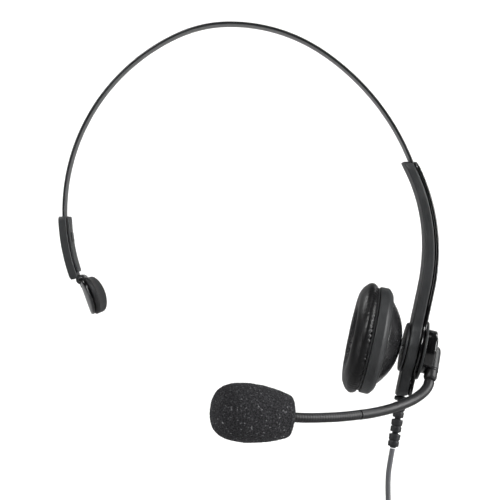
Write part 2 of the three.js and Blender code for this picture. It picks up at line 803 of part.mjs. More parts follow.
function hubCap() {
  const from = puckFrom + hub.puckThickness - 1.0 + fitGap;
  const r = hub.capRadius;
  const body = solid(turned([[from, 0], [from, r], [from + 1.3, r], [from + 1.7, r - 0.5],
    [from + 1.7, 0]], 28));
  const clear = socketLocal(rod(hub.socketFrom - fitGap, 22, hub.socketRadius + fitGap, 20));
  return surface(body.subtract(solid(clear)));
}

function boomSocket() {
  const r = hub.socketRadius;
  const from = hub.socketFrom;
  const rim = [[from, 0], [from, 1.4], [from + 0.7, 2.5], [from + 1.9, r]];
  return socketLocal(turned([...rim, [hub.socketTo, r], [hub.socketTo, 0]], 20));
}

function socketCollar() {
  const r = hub.socketRadius;
  const from = hub.socketTo + fitGap;
  return socketLocal(turned([[from, 0], [from, r + 0.1], [from + 0.6, r + 0.1], [from + 1.0, r - 0.1],
    [hub.collarTo - 0.8, r - 0.15], [hub.collarTo, r - 0.7], [hub.collarTo, 0]], 20));
}

function hubWasher() {
  return ring(hub.shoulder - fitGap - 0.5, hub.shoulder - fitGap - 0.1, 1.7, 5.7, 24);
}

function hubScrew() {
  const head = hub.shoulder - 2 * fitGap - 0.5;
  return turned([[4.6, 0], [4.2, hub.screwRadius], [head, hub.screwRadius], [head, 3.0], [head - 1.0, 2.7],
    [head - 1.0, 1.2], [head - 0.5, 0]].reverse(), 16);
}

// ---------------------------------------------------------------- boom and microphone
// The boom's route from the socket's collar to the microphone, chosen by hand.
const boomPoints = [
  [89.1, -6.3, -159.5],
  [88.3, -7.8, -161.6],
  [86.3, -9.7, -164.0],
  [82.8, -12.2, -166.4],
  [79.0, -15.0, -168.1],
  [74.8, -18.5, -169.4],
  [70.2, -22.5, -170.5],
  [65.5, -26.7, -171.2],
  [60.8, -31.0, -171.7],
  [56.2, -35.2, -171.9],
].map(withHub);

const neckPoints = [
  [[55.8, -35.5, -171.9], [52.4, -38.4, -172.0], [49.0, -41.0, -172.1]],
  [[48.6, -41.3, -172.1], [45.0, -43.9, -172.1], [41.4, -46.4, -172.0]],
  [[41.0, -46.7, -172.0], [37.2, -49.0, -171.9], [33.4, -51.3, -171.7]],
  [[33.0, -51.5, -171.7], [29.6, -53.4, -171.5], [26.0, -55.2, -171.2]],
].map((points) => points.map(withHub));

const micStart = withHub([25.6, -55.4, -170.8]);
const micAxis = new THREE.Vector3(-0.955, -0.281, 0.11).normalize();

// Local X runs from the boom's end towards the front of the windscreen.
function micLocal(geometry) {
  const turn = new THREE.Quaternion().setFromUnitVectors(new THREE.Vector3(1, 0, 0), micAxis);
  return geometry.applyQuaternion(turn).translate(...micStart);
}

function micWindscreen() {
  const r = mic.foamRadius;
  const f = mic.foamFrontRadius;
  const l = mic.foamLength;
  const pocket = mic.pocketRadius;
  return micLocal(turned([[0, 2.4], [0, r * 0.66], [0.8, r * 0.74], [3.5, r * 0.81], [8.0, f], [15.0, r - 0.2],
    [21.0, r], [l - 8, r - 0.6], [l - 4.5, r - 1.9], [l - 2.2, r - 3.8], [l - 0.7, r - 6.4], [l, r - 9.5],
    [l, 0], [mic.pocketDepth + 1, 0],
    [mic.pocketDepth + 1, pocket], [2.2, pocket], [2.2, 2.4]], 26));
}

function micHousing() {
  const r = mic.housingRadius;
  const from = 2.6;
  const to = from + mic.housingLength;
  return micLocal(turned([[from, 0], [from, 2.6], [from + 1.6, r], [to, r], [to, mic.capsuleRadius + fitGap],
    [to - mic.capsuleLength - fitGap, mic.capsuleRadius + fitGap], [to - mic.capsuleLength - fitGap, 0]], 20));
}

function micCapsule() {
  const to = 2.6 + mic.housingLength;
  return micLocal(rod(to - mic.capsuleLength, to, mic.capsuleRadius, 18));
}

function micFelt() {
  const from = 2.6 + mic.housingLength + fitGap;
  return micLocal(rod(from, from + 0.7, mic.housingRadius - 0.3, 18));
}

// ---------------------------------------------------------------- temple holder and pad
const templeRadius = band.sideRadius.temple;
const templeCentre = templeSide.sideCentre;

const [padPivot] = arc(templeCentre, templeRadius - temple.pinInward,
  180 + temple.angle.bottom + temple.pinBelow, 180, 1);

// A curved bar about the temple arc's centre. Angles are degrees below level.
function templeBar(inner, outer, top, bottom, halfWidth, round = 0, steps = 6) {
  return slab([
    ...arc(templeCentre, outer, 180 + top, 180 + bottom, steps),
    ...arc(templeCentre, inner, 180 + bottom, 180 + top, steps),
  ], halfWidth, round);
}

function templeHolder() {
  const { top, bottom } = temple.angle;
  const outer = templeRadius + bandZ + temple.outward;
  const inner = templeRadius - bandZ - temple.inward + temple.coverThickness + fitGap;
  const body = solid(templeBar(inner, outer, top, bottom, temple.halfWidth, 0.35));
  const inside = temple.halfWidth - temple.sideWall;
  const mouth = solid(templeBar(inner - 1, templeRadius + band.thickness / 2 + slideGap, top - 2, top + 3, inside));
  const room = solid(templeBar(inner - 1, outer - temple.outerWall, top + temple.mouthAngle, bottom - 2.2, inside));
  const { from, to } = temple.earHalf;
  const ears = solid(atPivot(barrel(-to, to, temple.knuckleRadius - 0.1)));
  const notch = solid(atPivot(barrel(-from, from, temple.knuckleRadius + 0.5)));
  const bore = solid(atPivot(barrel(-9, 9, temple.pinRadius + fitGap, 14)));
  return surface(body.subtract(mouth).subtract(room).add(ears).subtract(notch).subtract(bore));
}

function templePin() {
  return atPivot(barrel(-temple.earHalf.to + 0.2, temple.earHalf.to - 0.2, temple.pinRadius, 14));
}

function atPivot(geometry) {
  return geometry.translate(padPivot[0], 0, padPivot[1]);
}

function templeCover() {
  const { top, bottom } = temple.angle;
  const inner = templeRadius - bandZ - temple.inward;
  const body = solid(templeBar(inner, inner + temple.coverThickness, top, bottom - 1.6, temple.halfWidth - 0.3));
  const lip = templeBar(inner - temple.lipHeight, inner + 0.2, temple.lipAngle.top, temple.lipAngle.bottom, 4);
  return surface(body.add(solid(lip)));
}

const padTilt = rad(temple.padTilt);

// Local X is square to the pad's back and points at the head, local Z runs up the pad.
function padLocal(geometry) {
  const placed = geometry.clone().rotateY(-padTilt);
  return placed.translate(padPivot[0], 0, padPivot[1]);
}

// An oval bent about an upright axis, so that it is hollow towards the head.
function padPlate(from, thickness, length, height, drop) {
  const oval = [];
  const end = height * 0.5;
  for (const [sign, start] of [[1, -90], [-1, 90]]) {
    for (let i = 0; i <= 6; i += 1) {
      const a = rad(start + 180 * i / 6);
      oval.push([sign * (length / 2 - end) + end * Math.cos(a), end * Math.sin(a)]);
    }
  }
  const blank = solid(plate(oval, -30, 40)).translate([0, 0, drop]);
  const r = temple.padBend;
  const centreX = from + r;
  const wall = new THREE.LatheGeometry([
    [r, -20], [r, 20], [r - thickness, 20], [r - thickness, -20], [r, -20],
  ].map(([x, z]) => new THREE.Vector2(x, z)), 48).rotateX(Math.PI / 2).translate(centreX, 0, drop);
  const half = solid(new THREE.BoxGeometry(r, 60, 60).translate(from + r / 2 - 1, 0, drop));
  return blank.intersect(solid(wall)).intersect(half);
}

function padShell() {
  const { padOffset, shellThickness, knuckleRadius, earHalf } = temple;
  const body = padPlate(padOffset, shellThickness, temple.padLength, temple.padHeight, -8.6);
  const half = earHalf.from - fitGap;
  const clear = solid(barrel(-earHalf.to - fitGap, earHalf.to + fitGap, knuckleRadius + fitGap));
  const knuckle = solid(barrel(-half, half, knuckleRadius));
  const web = new THREE.BoxGeometry(shellThickness, 2 * half, 3.0);
  web.translate(padOffset + shellThickness / 2, 0, -1.9);
  const bore = solid(barrel(-9, 9, temple.pinRadius + fitGap, 14));
  return surface(body.subtract(clear).add(solid(web)).add(knuckle).subtract(bore));
}

function padCushion() {
  const from = temple.padOffset + temple.shellThickness + fitGap;
  const over = temple.padOverhang;
  const body = padPlate(from, temple.padThickness, temple.padLength + over, temple.padHeight + over, -8.6);
  const reach = temple.earHalf.to + fitGap;
  const clear = solid(barrel(-reach, reach, temple.knuckleRadius + fitGap));
  return surface(body.subtract(clear));
}

// A cylinder along Y about the local origin.
function barrel(from, to, radius, segments = 16) {
  const geometry = new THREE.CylinderGeometry(radius, radius, to - from, segments);
  return geometry.translate(0, (from + to) / 2, 0);
}

// ---------------------------------------------------------------- assembly
const headset = new THREE.Group();

function add(name, geometry, look) {
  headset.add(piece(name, geometry, look));
}

add('headband_strip', headbandStrip(), finish.steel);
add('band_stop_ear', bandStopEar(), finish.shell);
add('band_stop_temple', bandStopTemple(), finish.shell);

add('arm_shell', armShell(), finish.shell);
add('arm_cover', armCover(), finish.gloss);
add('arm_detent_spring', armDetentSpring(), finish.spring);
armScrews.forEach((place, index) => {
  add(`arm_screw_${index + 1}`, screwPlace(screw(-0.6, -0.15, -5.4, 1.5, 0.8), place), finish.bright);
});
add('arm_wires', armWires(), finish.cable);
add('strain_relief_boot', strainReliefBoot(), finish.rubber);

const cupNodes = [
  ['pivot_flange', pivotFlange(), finish.shell],
  ['ball_stud', ballStud(), finish.bright],
  ['ball_liner', ballLiner(), finish.nylon],
  ['cup_back', cupBack(), finish.shell],
  ['cup_ring', cupRing(), finish.shell],
  ['speaker_frame', speakerFrame(), finish.shell],
  ['speaker_magnet', speakerMagnet(), finish.spring],
  ['voice_coil', voiceCoil(), finish.brass],
  ['speaker_diaphragm', speakerDiaphragm(), finish.film],
  ['speaker_baffle', speakerBaffle(), finish.shell],
  ['cushion_retainer', cushionRetainer(), finish.shell],
  ['acoustic_felt', acousticFelt(), finish.felt],
  ['cushion_cover', cushionCover(), finish.leather],
  ['cushion_foam', cushionFoam(), finish.foam],
];
const hubNodes = [
  ['hub_bezel', hubBezel(), finish.shell],
  ['hub_puck', hubPuck(), finish.shell],
  ['hub_cap', hubCap(), finish.gloss],
  ['hub_washer', hubWasher(), finish.spring],
  ['hub_screw', hubScrew(), finish.bright],
  ['boom_socket', boomSocket(), finish.shell],
  ['socket_collar', socketCollar(), finish.rubber],
];
for (const [name, geometry, look] of [...cupNodes, ...hubNodes]) {
  add(name, hubLocal(geometry), look);
}

add('boom_sleeve', tube(boomPoints, boom.sleeveRadius, 12, 20), finish.rubber);
neckPoints.forEach((points, index) => {
  add(`gooseneck_${index + 1}`, tube(points, boom.neckRadius, 12, 3), finish.rubber);
});
add('mic_windscreen', micWindscreen(), finish.foam);
add('mic_housing', micHousing(), finish.shell);
add('mic_capsule', micCapsule(), finish.bright);
add('mic_felt', micFelt(), finish.felt);

add('temple_holder', templeHolder(), finish.shell);
add('temple_cover', templeCover(), finish.shell);
add('temple_pin', templePin(), finish.bright);
add('pad_shell', padLocal(padShell()), finish.gloss);
add('pad_cushion', padLocal(padCushion()), finish.rubber);

add('cable', tube(cablePoints, cable.radius, 8, 14), finish.cable);
add('cable_coil', cableCoil(), finish.cable);
add('cable_tie', cableTie(), finish.rubber);
add('cable_tail', tube(tailPoints, cable.radius, 8, 4), finish.cable);
add('plug_boot', plugBoot(), finish.rubber);
add('plug_body', plugBody(), finish.shell);
add('plug_shank', plugShank(), finish.bright);

export default headset;
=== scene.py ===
# Single-ear office headset, hanging upright as it is worn. Metres, +Z up, the wearer faces -Y.
import bmesh
import bpy
import json
import math
from mathutils import Matrix, Vector, noise


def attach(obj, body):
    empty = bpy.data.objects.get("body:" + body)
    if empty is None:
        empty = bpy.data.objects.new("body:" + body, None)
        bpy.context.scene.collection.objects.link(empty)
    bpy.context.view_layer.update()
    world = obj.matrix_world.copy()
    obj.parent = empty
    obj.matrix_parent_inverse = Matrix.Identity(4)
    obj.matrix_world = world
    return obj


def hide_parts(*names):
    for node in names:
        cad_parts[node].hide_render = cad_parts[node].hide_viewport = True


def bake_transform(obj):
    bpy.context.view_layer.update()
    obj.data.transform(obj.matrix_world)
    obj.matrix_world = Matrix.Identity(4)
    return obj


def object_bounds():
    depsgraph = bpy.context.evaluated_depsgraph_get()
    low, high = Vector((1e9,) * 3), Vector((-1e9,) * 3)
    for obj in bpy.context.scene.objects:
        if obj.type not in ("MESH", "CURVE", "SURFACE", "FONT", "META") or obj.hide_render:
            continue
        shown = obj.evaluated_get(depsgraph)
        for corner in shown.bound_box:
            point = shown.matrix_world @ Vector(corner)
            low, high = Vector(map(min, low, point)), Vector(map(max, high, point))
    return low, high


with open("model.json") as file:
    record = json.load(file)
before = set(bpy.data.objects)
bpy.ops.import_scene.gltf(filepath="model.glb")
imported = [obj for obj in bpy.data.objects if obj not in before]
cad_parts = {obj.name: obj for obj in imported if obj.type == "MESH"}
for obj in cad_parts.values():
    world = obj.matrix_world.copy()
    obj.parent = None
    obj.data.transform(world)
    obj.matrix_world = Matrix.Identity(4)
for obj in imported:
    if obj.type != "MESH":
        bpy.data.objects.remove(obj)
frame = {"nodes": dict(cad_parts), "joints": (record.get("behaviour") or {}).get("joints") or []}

cad_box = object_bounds()
scene = bpy.context.scene
NODES = frame["nodes"]
JOINTS = {joint["name"]: joint for joint in frame["joints"]}
MM = 0.001


# ---------------------------------------------------------------- camera, light and floor
# A long lens square to the headset, as a catalogue picture is taken, under large soft boxes.
# The floor and the wall behind are one pale sweep of paper with no corner.
VIEW_DISTANCE = 800 * MM
VIEW_WIDTH = 225 * MM
VIEW_MIDDLE = Vector((9.0, 0, -101.0)) * MM
PAPER_MIDDLE = Vector((0, 3.0, -0.1))


def linear(code):
    """An sRGB hex colour as linear red, green, blue and alpha."""
    channels = [int(code[i:i + 2], 16) / 255 for i in (1, 3, 5)]
    return [c / 12.92 if c <= 0.04045 else ((c + 0.055) / 1.055) ** 2.4 for c in channels] + [1.0]


def add_node(tree, kind, settings=None, inputs=None, links=None):
    """Adds a node, sets its properties and inputs, and links other nodes' outputs into it."""
    made = tree.nodes.new(kind)
    for key, value in (settings or {}).items():
        setattr(made, key, value)
    for key, value in (inputs or {}).items():
        made.inputs[key].default_value = value
    for key, output in (links or {}).items():
        tree.links.new(output, made.inputs[key])
    return made


def new_material(name):
    """A material with an empty Principled surface, and its node tree."""
    made = bpy.data.materials.new(name)
    made.use_nodes = True
    tree = made.node_tree
    return made, tree, tree.nodes["Principled BSDF"]


def mesh_piece(name, vertices, faces, material, smooth=True):
    """A mesh object with one material."""
    mesh = bpy.data.meshes.new(name)
    mesh.from_pydata([tuple(v) for v in vertices], [], faces)
    mesh.update()
    mesh.materials.append(material)
    for polygon in mesh.polygons:
        polygon.use_smooth = smooth
    made = bpy.data.objects.new(name, mesh)
    scene.collection.objects.link(made)
    return made


def make_camera():
    lens = bpy.data.cameras.new("camera")
    lens.sensor_width = 36
    lens.lens = 36 * VIEW_DISTANCE / VIEW_WIDTH
    lens.clip_start = 0.01
    made = bpy.data.objects.new("camera", lens)
    made.location = VIEW_MIDDLE - Vector((0, VIEW_DISTANCE, 0))
    made.rotation_euler = (math.radians(90), 0, 0)
    scene.collection.objects.link(made)
    scene.camera = made


def make_light(name, place, size, power, target=VIEW_MIDDLE):
    lamp = bpy.data.lights.new(name, "AREA")
    lamp.shape = "RECTANGLE"
    lamp.size, lamp.size_y = size
    lamp.energy = power
    made = bpy.data.objects.new(name, lamp)
    made.location = place
    made.rotation_euler = (target - Vector(place)).to_track_quat("-Z", "Y").to_euler()
    scene.collection.objects.link(made)


def make_sweep():
    """The paper: flat under the headset, then a quarter round, then upright. Its reflections are
    held back, as black cards beside a table do, so that the black pieces keep dark edges."""
    paper, tree, shader = new_material("white_paper")
    fibre = add_node(tree, "ShaderNodeTexNoise", inputs={"Scale": 900.0, "Detail": 4.0})
    bump = add_node(tree, "ShaderNodeBump", inputs={"Strength": 0.02},
                    links={"Height": fibre.outputs["Fac"]})
    tree.links.new(bump.outputs["Normal"], shader.inputs["Normal"])
    bounce = add_node(tree, "ShaderNodeLightPath").outputs["Is Glossy Ray"]
    tone = add_node(tree, "ShaderNodeMapRange", inputs={"To Min": 0.96, "To Max": 0.3},
                    links={"Value": bounce})
    tree.links.new(tone.outputs["Result"], shader.inputs["Base Color"])
    shader.inputs["Roughness"].default_value = 0.9
    floor_z = cad_box[0][2] - 30 * MM
    front, bend_from, bend, height, half_width, steps = -6.0, 2.2, 1.2, 7.0, 7.0, 12
    profile = [(front, floor_z), (bend_from, floor_z)]
    for step in range(1, steps + 1):
        turn = math.radians(90 * step / steps)
        profile.append((bend_from + bend * math.sin(turn), floor_z + bend * (1 - math.cos(turn))))
    profile.append((bend_from + bend, floor_z + height))
    vertices = [(x, y, z) for y, z in profile for x in (-half_width, half_width)]
    faces = [(2 * i, 2 * i + 1, 2 * i + 3, 2 * i + 2) for i in range(len(profile) - 1)]
    mesh_piece("paper_sweep", vertices, faces, paper)


make_camera()
make_sweep()
make_light("key_box", (-0.55, -1.0, 0.75), (0.4, 0.4), 20)
make_light("left_strip", (-1.0, -0.3, 0.0), (0.15, 0.8), 4)
make_light("right_strip", (1.0, -0.25, 0.15), (0.15, 0.8), 20)
make_light("top_box", (0.1, -0.1, 1.2), (0.8, 0.4), 3)
make_light("paper_left", (-1.6, 1.2, 1.6), (0.8, 0.8), 48, PAPER_MIDDLE)
make_light("paper_right", (1.6, 1.2, 1.6), (0.8, 0.8), 48, PAPER_MIDDLE)


def make_sky():
    """White where it is seen. As a light it is bright above and fades to almost nothing below."""
    world = bpy.data.worlds.new("studio")
    world.use_nodes = True
    tree = world.node_tree
    tree.nodes["Background"].inputs["Color"].default_value = (1, 1, 1, 1)
    place = add_node(tree, "ShaderNodeTexCoord").outputs["Generated"]
    height = add_node(tree, "ShaderNodeSeparateXYZ", links={"Vector": place}).outputs["Z"]
    light = add_node(tree, "ShaderNodeMapRange", inputs={"From Min": -0.3, "From Max": 0.7, "To Min": 0.004,
                     "To Max": 0.025}, links={"Value": height})
    seen = add_node(tree, "ShaderNodeLightPath").outputs["Is Camera Ray"]
    either = add_node(tree, "ShaderNodeMath", {"operation": "MAXIMUM"})
    tree.links.new(light.outputs["Result"], either.inputs[0])
    tree.links.new(seen, either.inputs[1])
    tree.links.new(either.outputs["Value"], tree.nodes["Background"].inputs["Strength"])
    scene.world = world


make_sky()
scene.view_settings.view_transform = "Standard"


# ---------------------------------------------------------------- cable
# A round grey PVC cable, moulded into the strain relief at the foot of the arm. It hangs straight
# down, and the length not in use is wound in a small coil with a rubber tie, above its own plug.
CABLE_DIAMETER = 2.4 * MM
COIL_CENTRE = Vector((58.2, 0, -242.0)) * MM
COIL_RADIUS = 13.2 * MM
COIL_PITCH = 2.4 * MM
CABLE_RUN = [
    (73.1, 0, -190.4), (72.4, 0, -194.2), (71.8, 0, -197.8), (71.3, 0, -201.6), (71.1, 0, -205.4),
    (71.1, 0, -209.4), (71.2, 0, -213.8), (71.3, 0, -218.2), (71.4, -0.1, -222.4),
]
INTO_COIL = [(71.4, -1.2, -226.4), (71.5, -3.0, -229.6), (72.1, -3.65, -233.0), (73.3, -3.35, -237.4)]
TAIL_RUN = [(71.4, 0, -262.0), (71.0, 0, -266.0), (70.8, 0, -270.0)]


def coil_slots():
    """Places of the turns in the bundle's section, as (outwards, across), wound column by column."""
    columns = [(-1.5, 3), (-0.5, 4), (0.5, 4), (1.5, 3)]
    slots = []
    for index, (column, count) in enumerate(columns):
        places = [(k - (count - 1) / 2) * COIL_PITCH for k in range(count)]
        if index % 2 == 0:
            places.reverse()
        slots += [(place, column * COIL_PITCH * math.sin(math.radians(60))) for place in places]
    return slots


def coil_points(step_degrees=12):
    """The coil's turns. Each turn gives way a little earlier than the last, so that none cross."""
    slots = coil_slots()
    span, shift = 315, 40
    points = []
    for angle in range(0, 360 * (span * len(slots) // 360) + 1, step_degrees):
        index, local = divmod(angle, span)
        t = max(0.0, (local - (span - shift)) / shift)
        t = t * t * (3 - 2 * t)
        here, after = slots[index], slots[min(index + 1, len(slots) - 1)]
        outwards = here[0] + (after[0] - here[0]) * t
        across = here[1] + (after[1] - here[1]) * t
        turn = math.radians(-angle)
        radius = COIL_RADIUS + outwards
        points.append(COIL_CENTRE + Vector((radius * math.cos(turn), across, radius * math.sin(turn))))
    return points


def smooth_run(points, steps):
    """A Catmull-Rom line through the points."""
    padded = [2 * points[0] - points[1], *points, 2 * points[-1] - points[-2]]
    line = []
    for a, b, c, d in zip(padded, padded[1:], padded[2:], padded[3:]):
        for step in range(steps):
            t = step / steps
            line.append(0.5 * (2 * b + (c - a) * t + (2 * a - 5 * b + 4 * c - d) * t * t
                               + (3 * b - a - 3 * c + d) * t ** 3))
    return line + [points[-1]]


def pvc_jacket(name, code, roughness):
    """Soft PVC from an extruder: a low sheen with long faint draw marks and a little dust."""
    made, tree, shader = new_material(name)
    place = add_node(tree, "ShaderNodeTexCoord")
    dust = add_node(tree, "ShaderNodeTexNoise", inputs={"Scale": 600.0, "Detail": 6.0},
                    links={"Vector": place.outputs["Object"]})
    tone = add_node(tree, "ShaderNodeValToRGB", links={"Fac": dust.outputs["Fac"]})
    base = linear(code)
    tone.color_ramp.elements[0].color = [c * 0.85 for c in base[:3]] + [1]
    tone.color_ramp.elements[1].color = [min(1, c * 1.2) for c in base[:3]] + [1]
    bump = add_node(tree, "ShaderNodeBump", inputs={"Strength": 0.12, "Distance": 0.0002},
                    links={"Height": dust.outputs["Fac"]})
    tree.links.new(tone.outputs["Color"], shader.inputs["Base Color"])
    tree.links.new(bump.outputs["Normal"], shader.inputs["Normal"])
    shader.inputs["Roughness"].default_value = roughness
    shader.inputs["IOR"].default_value = 1.53
    return made


def make_cable():
    route = [Vector(p) * MM for p in CABLE_RUN]
    coil = coil_points()
    tail = [Vector(p) * MM for p in TAIL_RUN]
    lead_in = [Vector(p) * MM for p in INTO_COIL]
    lead_out = [Vector((p.x, -p.y, 2 * COIL_CENTRE.z - p.z)) for p in reversed(lead_in)]
    line = smooth_run(route + lead_in + coil + lead_out + tail, 3)
    data = bpy.data.curves.new("cable_run", "CURVE")
    data.dimensions = "3D"
    data.bevel_depth = CABLE_DIAMETER / 2
    data.bevel_resolution = 4
    data.use_fill_caps = True
    spline = data.splines.new("POLY")
    spline.points.add(len(line) - 1)
    for point, place in zip(spline.points, line):
        point.co = (*place, 1)
    data.materials.append(pvc_jacket("grey_pvc_jacket", "#3e3f42", 0.5))
    made = bpy.data.objects.new("cable_run", data)
    scene.collection.objects.link(made)
    return made


cable_run = make_cable()
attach(cable_run, "arm")
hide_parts("cable", "cable_coil", "cable_tail")


# ---------------------------------------------------------------- headband
# One strip of hardened spring steel, 12 mm wide, rolled to shape and stove enamelled black. Its long
# edges are rolled round. It slides in the arm on one side and in the temple holder on the other.
BAND_WIDTH = 12.0
BAND_THICKNESS = 1.2
CROWN_RADIUS = {1: 74.7, -1: 57.0}
SIDE_RADIUS = {1: 106.8, -1: 87.0}
CROWN_ANGLE = {1: 34.0, -1: 25.0}
END_ANGLE = {1: 93.0, -1: 106.0}


def skin(rings, closed=False):
    """Quads between equal rings of points. Unless the rings close on themselves, both ends are capped."""
    count = len(rings[0])
    vertices = [point for ring in rings for point in ring]
    faces = []
    for index in range(len(rings) - (0 if closed else 1)):
        low, high = index * count, (index + 1) % len(rings) * count
        for k in range(count):
            j = (k + 1) % count
            faces.append((low + k, low + j, high + j, high + k))
    if not closed:
        faces.append(tuple(reversed(range(count))))
        faces.append(tuple(range(len(vertices) - count, len(vertices))))
    return vertices, faces


def made_of(name, rings, material, closed=False, place=Matrix(), sharp=35):
    """A smooth mesh piece from rings given in millimetres, with edges sharper than an angle kept crisp."""
    vertices, faces = skin(rings, closed)
    made = mesh_piece(name, [(place @ Vector(v)) * MM for v in vertices], faces, material)
    outwards(made)
    made.data.set_sharp_from_angle(angle=math.radians(sharp))
    return made


def outwards(piece):
    """Turns the faces of a closed mesh outwards."""
    work = bmesh.new()
    work.from_mesh(piece.data)
    bmesh.ops.recalc_face_normals(work, faces=work.faces)
    work.to_mesh(piece.data)
    work.free()


def soft_box(width, height, radius, steps=4):
    """A rectangle with round corners, centred, as (across, up) points."""
    points = []
    for sx, sy, start in ((1, 1, 0), (-1, 1, 90), (-1, -1, 180), (1, -1, 270)):
        for step in range(steps + 1):
            turn = math.radians(start + 90 * step / steps)
            points.append((sx * (width / 2 - radius) + radius * math.cos(turn),
                           sy * (height / 2 - radius) + radius * math.sin(turn)))
    return points


def side_centre(side):
    """Centre of the side arc, from the crown arc that it runs on from."""
    turn = math.radians(CROWN_ANGLE[side])
    reach = CROWN_RADIUS[side] - SIDE_RADIUS[side]
    height = BAND_THICKNESS / 2 - CROWN_RADIUS[side] + reach * math.cos(turn)
    return Vector((side * reach * math.sin(turn), 0, height))


def band_line():
    """The strip's centreline from the temple end to the ear end, as (place, outward direction)."""
    line = []
    for side in (-1, 1):
        crown = Vector((0, 0, BAND_THICKNESS / 2 - CROWN_RADIUS[side]))
        half = []
        bend, end = CROWN_ANGLE[side], END_ANGLE[side]
        arcs = [(crown, CROWN_RADIUS[side], 0, bend), (side_centre(side), SIDE_RADIUS[side], bend, end)]
        for centre, radius, first, last in arcs:
            steps = max(2, round((last - first) / 1.5))
            for step in range(1, steps + 1):
                turn = math.radians(first + (last - first) * step / steps)
                away = Vector((side * math.sin(turn), 0, math.cos(turn)))
                half.append((centre + away * radius, away))
        top = (Vector((0, 0, BAND_THICKNESS / 2)), Vector((0, 0, 1)))
        line = [*reversed(half), top] if side < 0 else line + half
    return line


def fine_bump(tree, shader, height, depth_mm, strength=1.0):
    """Sends a height between 0 and 1 to the surface as relief of a real depth."""
    bump = add_node(tree, "ShaderNodeBump", inputs={"Strength": strength, "Distance": depth_mm * MM},
                    links={"Height": height})
    tree.links.new(bump.outputs["Normal"], shader.inputs["Normal"])


def mottle(tree, shader, place, scale, low, high):
    """Colour that wanders between two hex colours over patches of a real size in millimetres."""
    patches = add_node(tree, "ShaderNodeTexNoise", inputs={"Scale": 1 / (scale * MM), "Detail": 5.0},
                       links={"Vector": place})
    ramp = add_node(tree, "ShaderNodeValToRGB", links={"Fac": patches.outputs["Fac"]})
    ramp.color_ramp.elements[0].position = 0.3
    ramp.color_ramp.elements[1].position = 0.7
    ramp.color_ramp.elements[0].color = linear(low)
    ramp.color_ramp.elements[1].color = linear(high)
    tree.links.new(ramp.outputs["Color"], shader.inputs["Base Color"])
    return patches.outputs["Fac"]


def vary_roughness(tree, shader, source, low, high):
    """Lets a value between 0 and 1 move the roughness between two limits."""
    rough = add_node(tree, "ShaderNodeMapRange", inputs={"To Min": low, "To Max": high},
                     links={"Value": source})
    tree.links.new(rough.outputs["Result"], shader.inputs["Roughness"])


def enamelled_steel():
    """Stove enamel on cold-rolled strip: a hard black gloss that follows the faint lines of rolling."""
    made, tree, shader = new_material("stove_enamelled_steel")
    place = add_node(tree, "ShaderNodeTexCoord").outputs["Object"]
    wear = mottle(tree, shader, place, 6, "#08090a", "#141517")
    peel = add_node(tree, "ShaderNodeTexNoise", inputs={"Scale": 1 / (0.9 * MM), "Detail": 3.0},
                    links={"Vector": place})
    vary_roughness(tree, shader, wear, 0.24, 0.36)
    fine_bump(tree, shader, peel.outputs["Fac"], 0.01)
    shader.inputs["IOR"].default_value = 1.5
    return made


def make_band():
    section = soft_box(BAND_WIDTH, BAND_THICKNESS, 0.42)
    rings = [[place + Vector((0, across, 0)) + away * up for across, up in section]
             for place, away in band_line()]
    return made_of("headband_spring", rings, black_enamel)


black_enamel = enamelled_steel()
headband_spring = make_band()
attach(headband_spring, "headband")
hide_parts("headband_strip")


# ---------------------------------------------------------------- arm on the ear side
# Two ABS mouldings from a spark-eroded mould: a hollow shell with a fine matt texture and a glossy
# cover on its outer face, held by two screws. The strip slides in a curved chamber inside.
GAP = 0.3
SLIDE_GAP = 0.35
EAR_CENTRE = Vector(JOINTS["arm_slide"]["pos_m"]) / MM
ARM_LEAN = math.radians(12.1)
ARM_OUTER_CENTRE = EAR_CENTRE + Vector((26.25, 0, -0.29))
ARM_INNER_CENTRE = EAR_CENTRE + Vector((31.05, 0, 2.51))
ARM_OUTER_RADIUS = 85.0
ARM_INNER_RADIUS = 73.9
ARM_LOWER_RADIUS = 92.0
ARM_TOP = -61.4
ARM_FOOT = -166.4
ARM_HALF = 8.0
HUB_HALF = 11.5
FOOT_HALF = 6.4
HUB_HEIGHT = -145.4
COVER_THICKNESS = 1.5


def arm_edge(centre, radius, height):
    """Where an edge of the arm is at a height: on its arc, or on the straight part below it."""
    down = centre.z - height
    if down < radius * math.sin(ARM_LEAN):
        return centre.x + math.sqrt(radius ** 2 - down ** 2)
    return centre.x + radius * math.cos(ARM_LEAN) - (down - radius * math.sin(ARM_LEAN)) * math.tan(ARM_LEAN)


def arm_outer(height, inset=0.0):
    return arm_edge(ARM_OUTER_CENTRE, ARM_OUTER_RADIUS - inset, height)


def arm_inner(height, inset=0.0):
    if height > ARM_INNER_CENTRE.z:
        return arm_edge(ARM_INNER_CENTRE, ARM_INNER_RADIUS + inset, height)
    centre = ARM_INNER_CENTRE + Vector((ARM_INNER_RADIUS - ARM_LOWER_RADIUS, 0, 0))
    return arm_edge(centre, ARM_LOWER_RADIUS + inset, height)


hub_x = (arm_outer(HUB_HEIGHT) + arm_inner(HUB_HEIGHT)) / 2
HUB = Matrix.Translation((hub_x, 0, HUB_HEIGHT)) @ Matrix.Rotation(ARM_LEAN, 4, "Y")
HUB_FACE = (arm_outer(HUB_HEIGHT) - hub_x) * math.cos(ARM_LEAN)


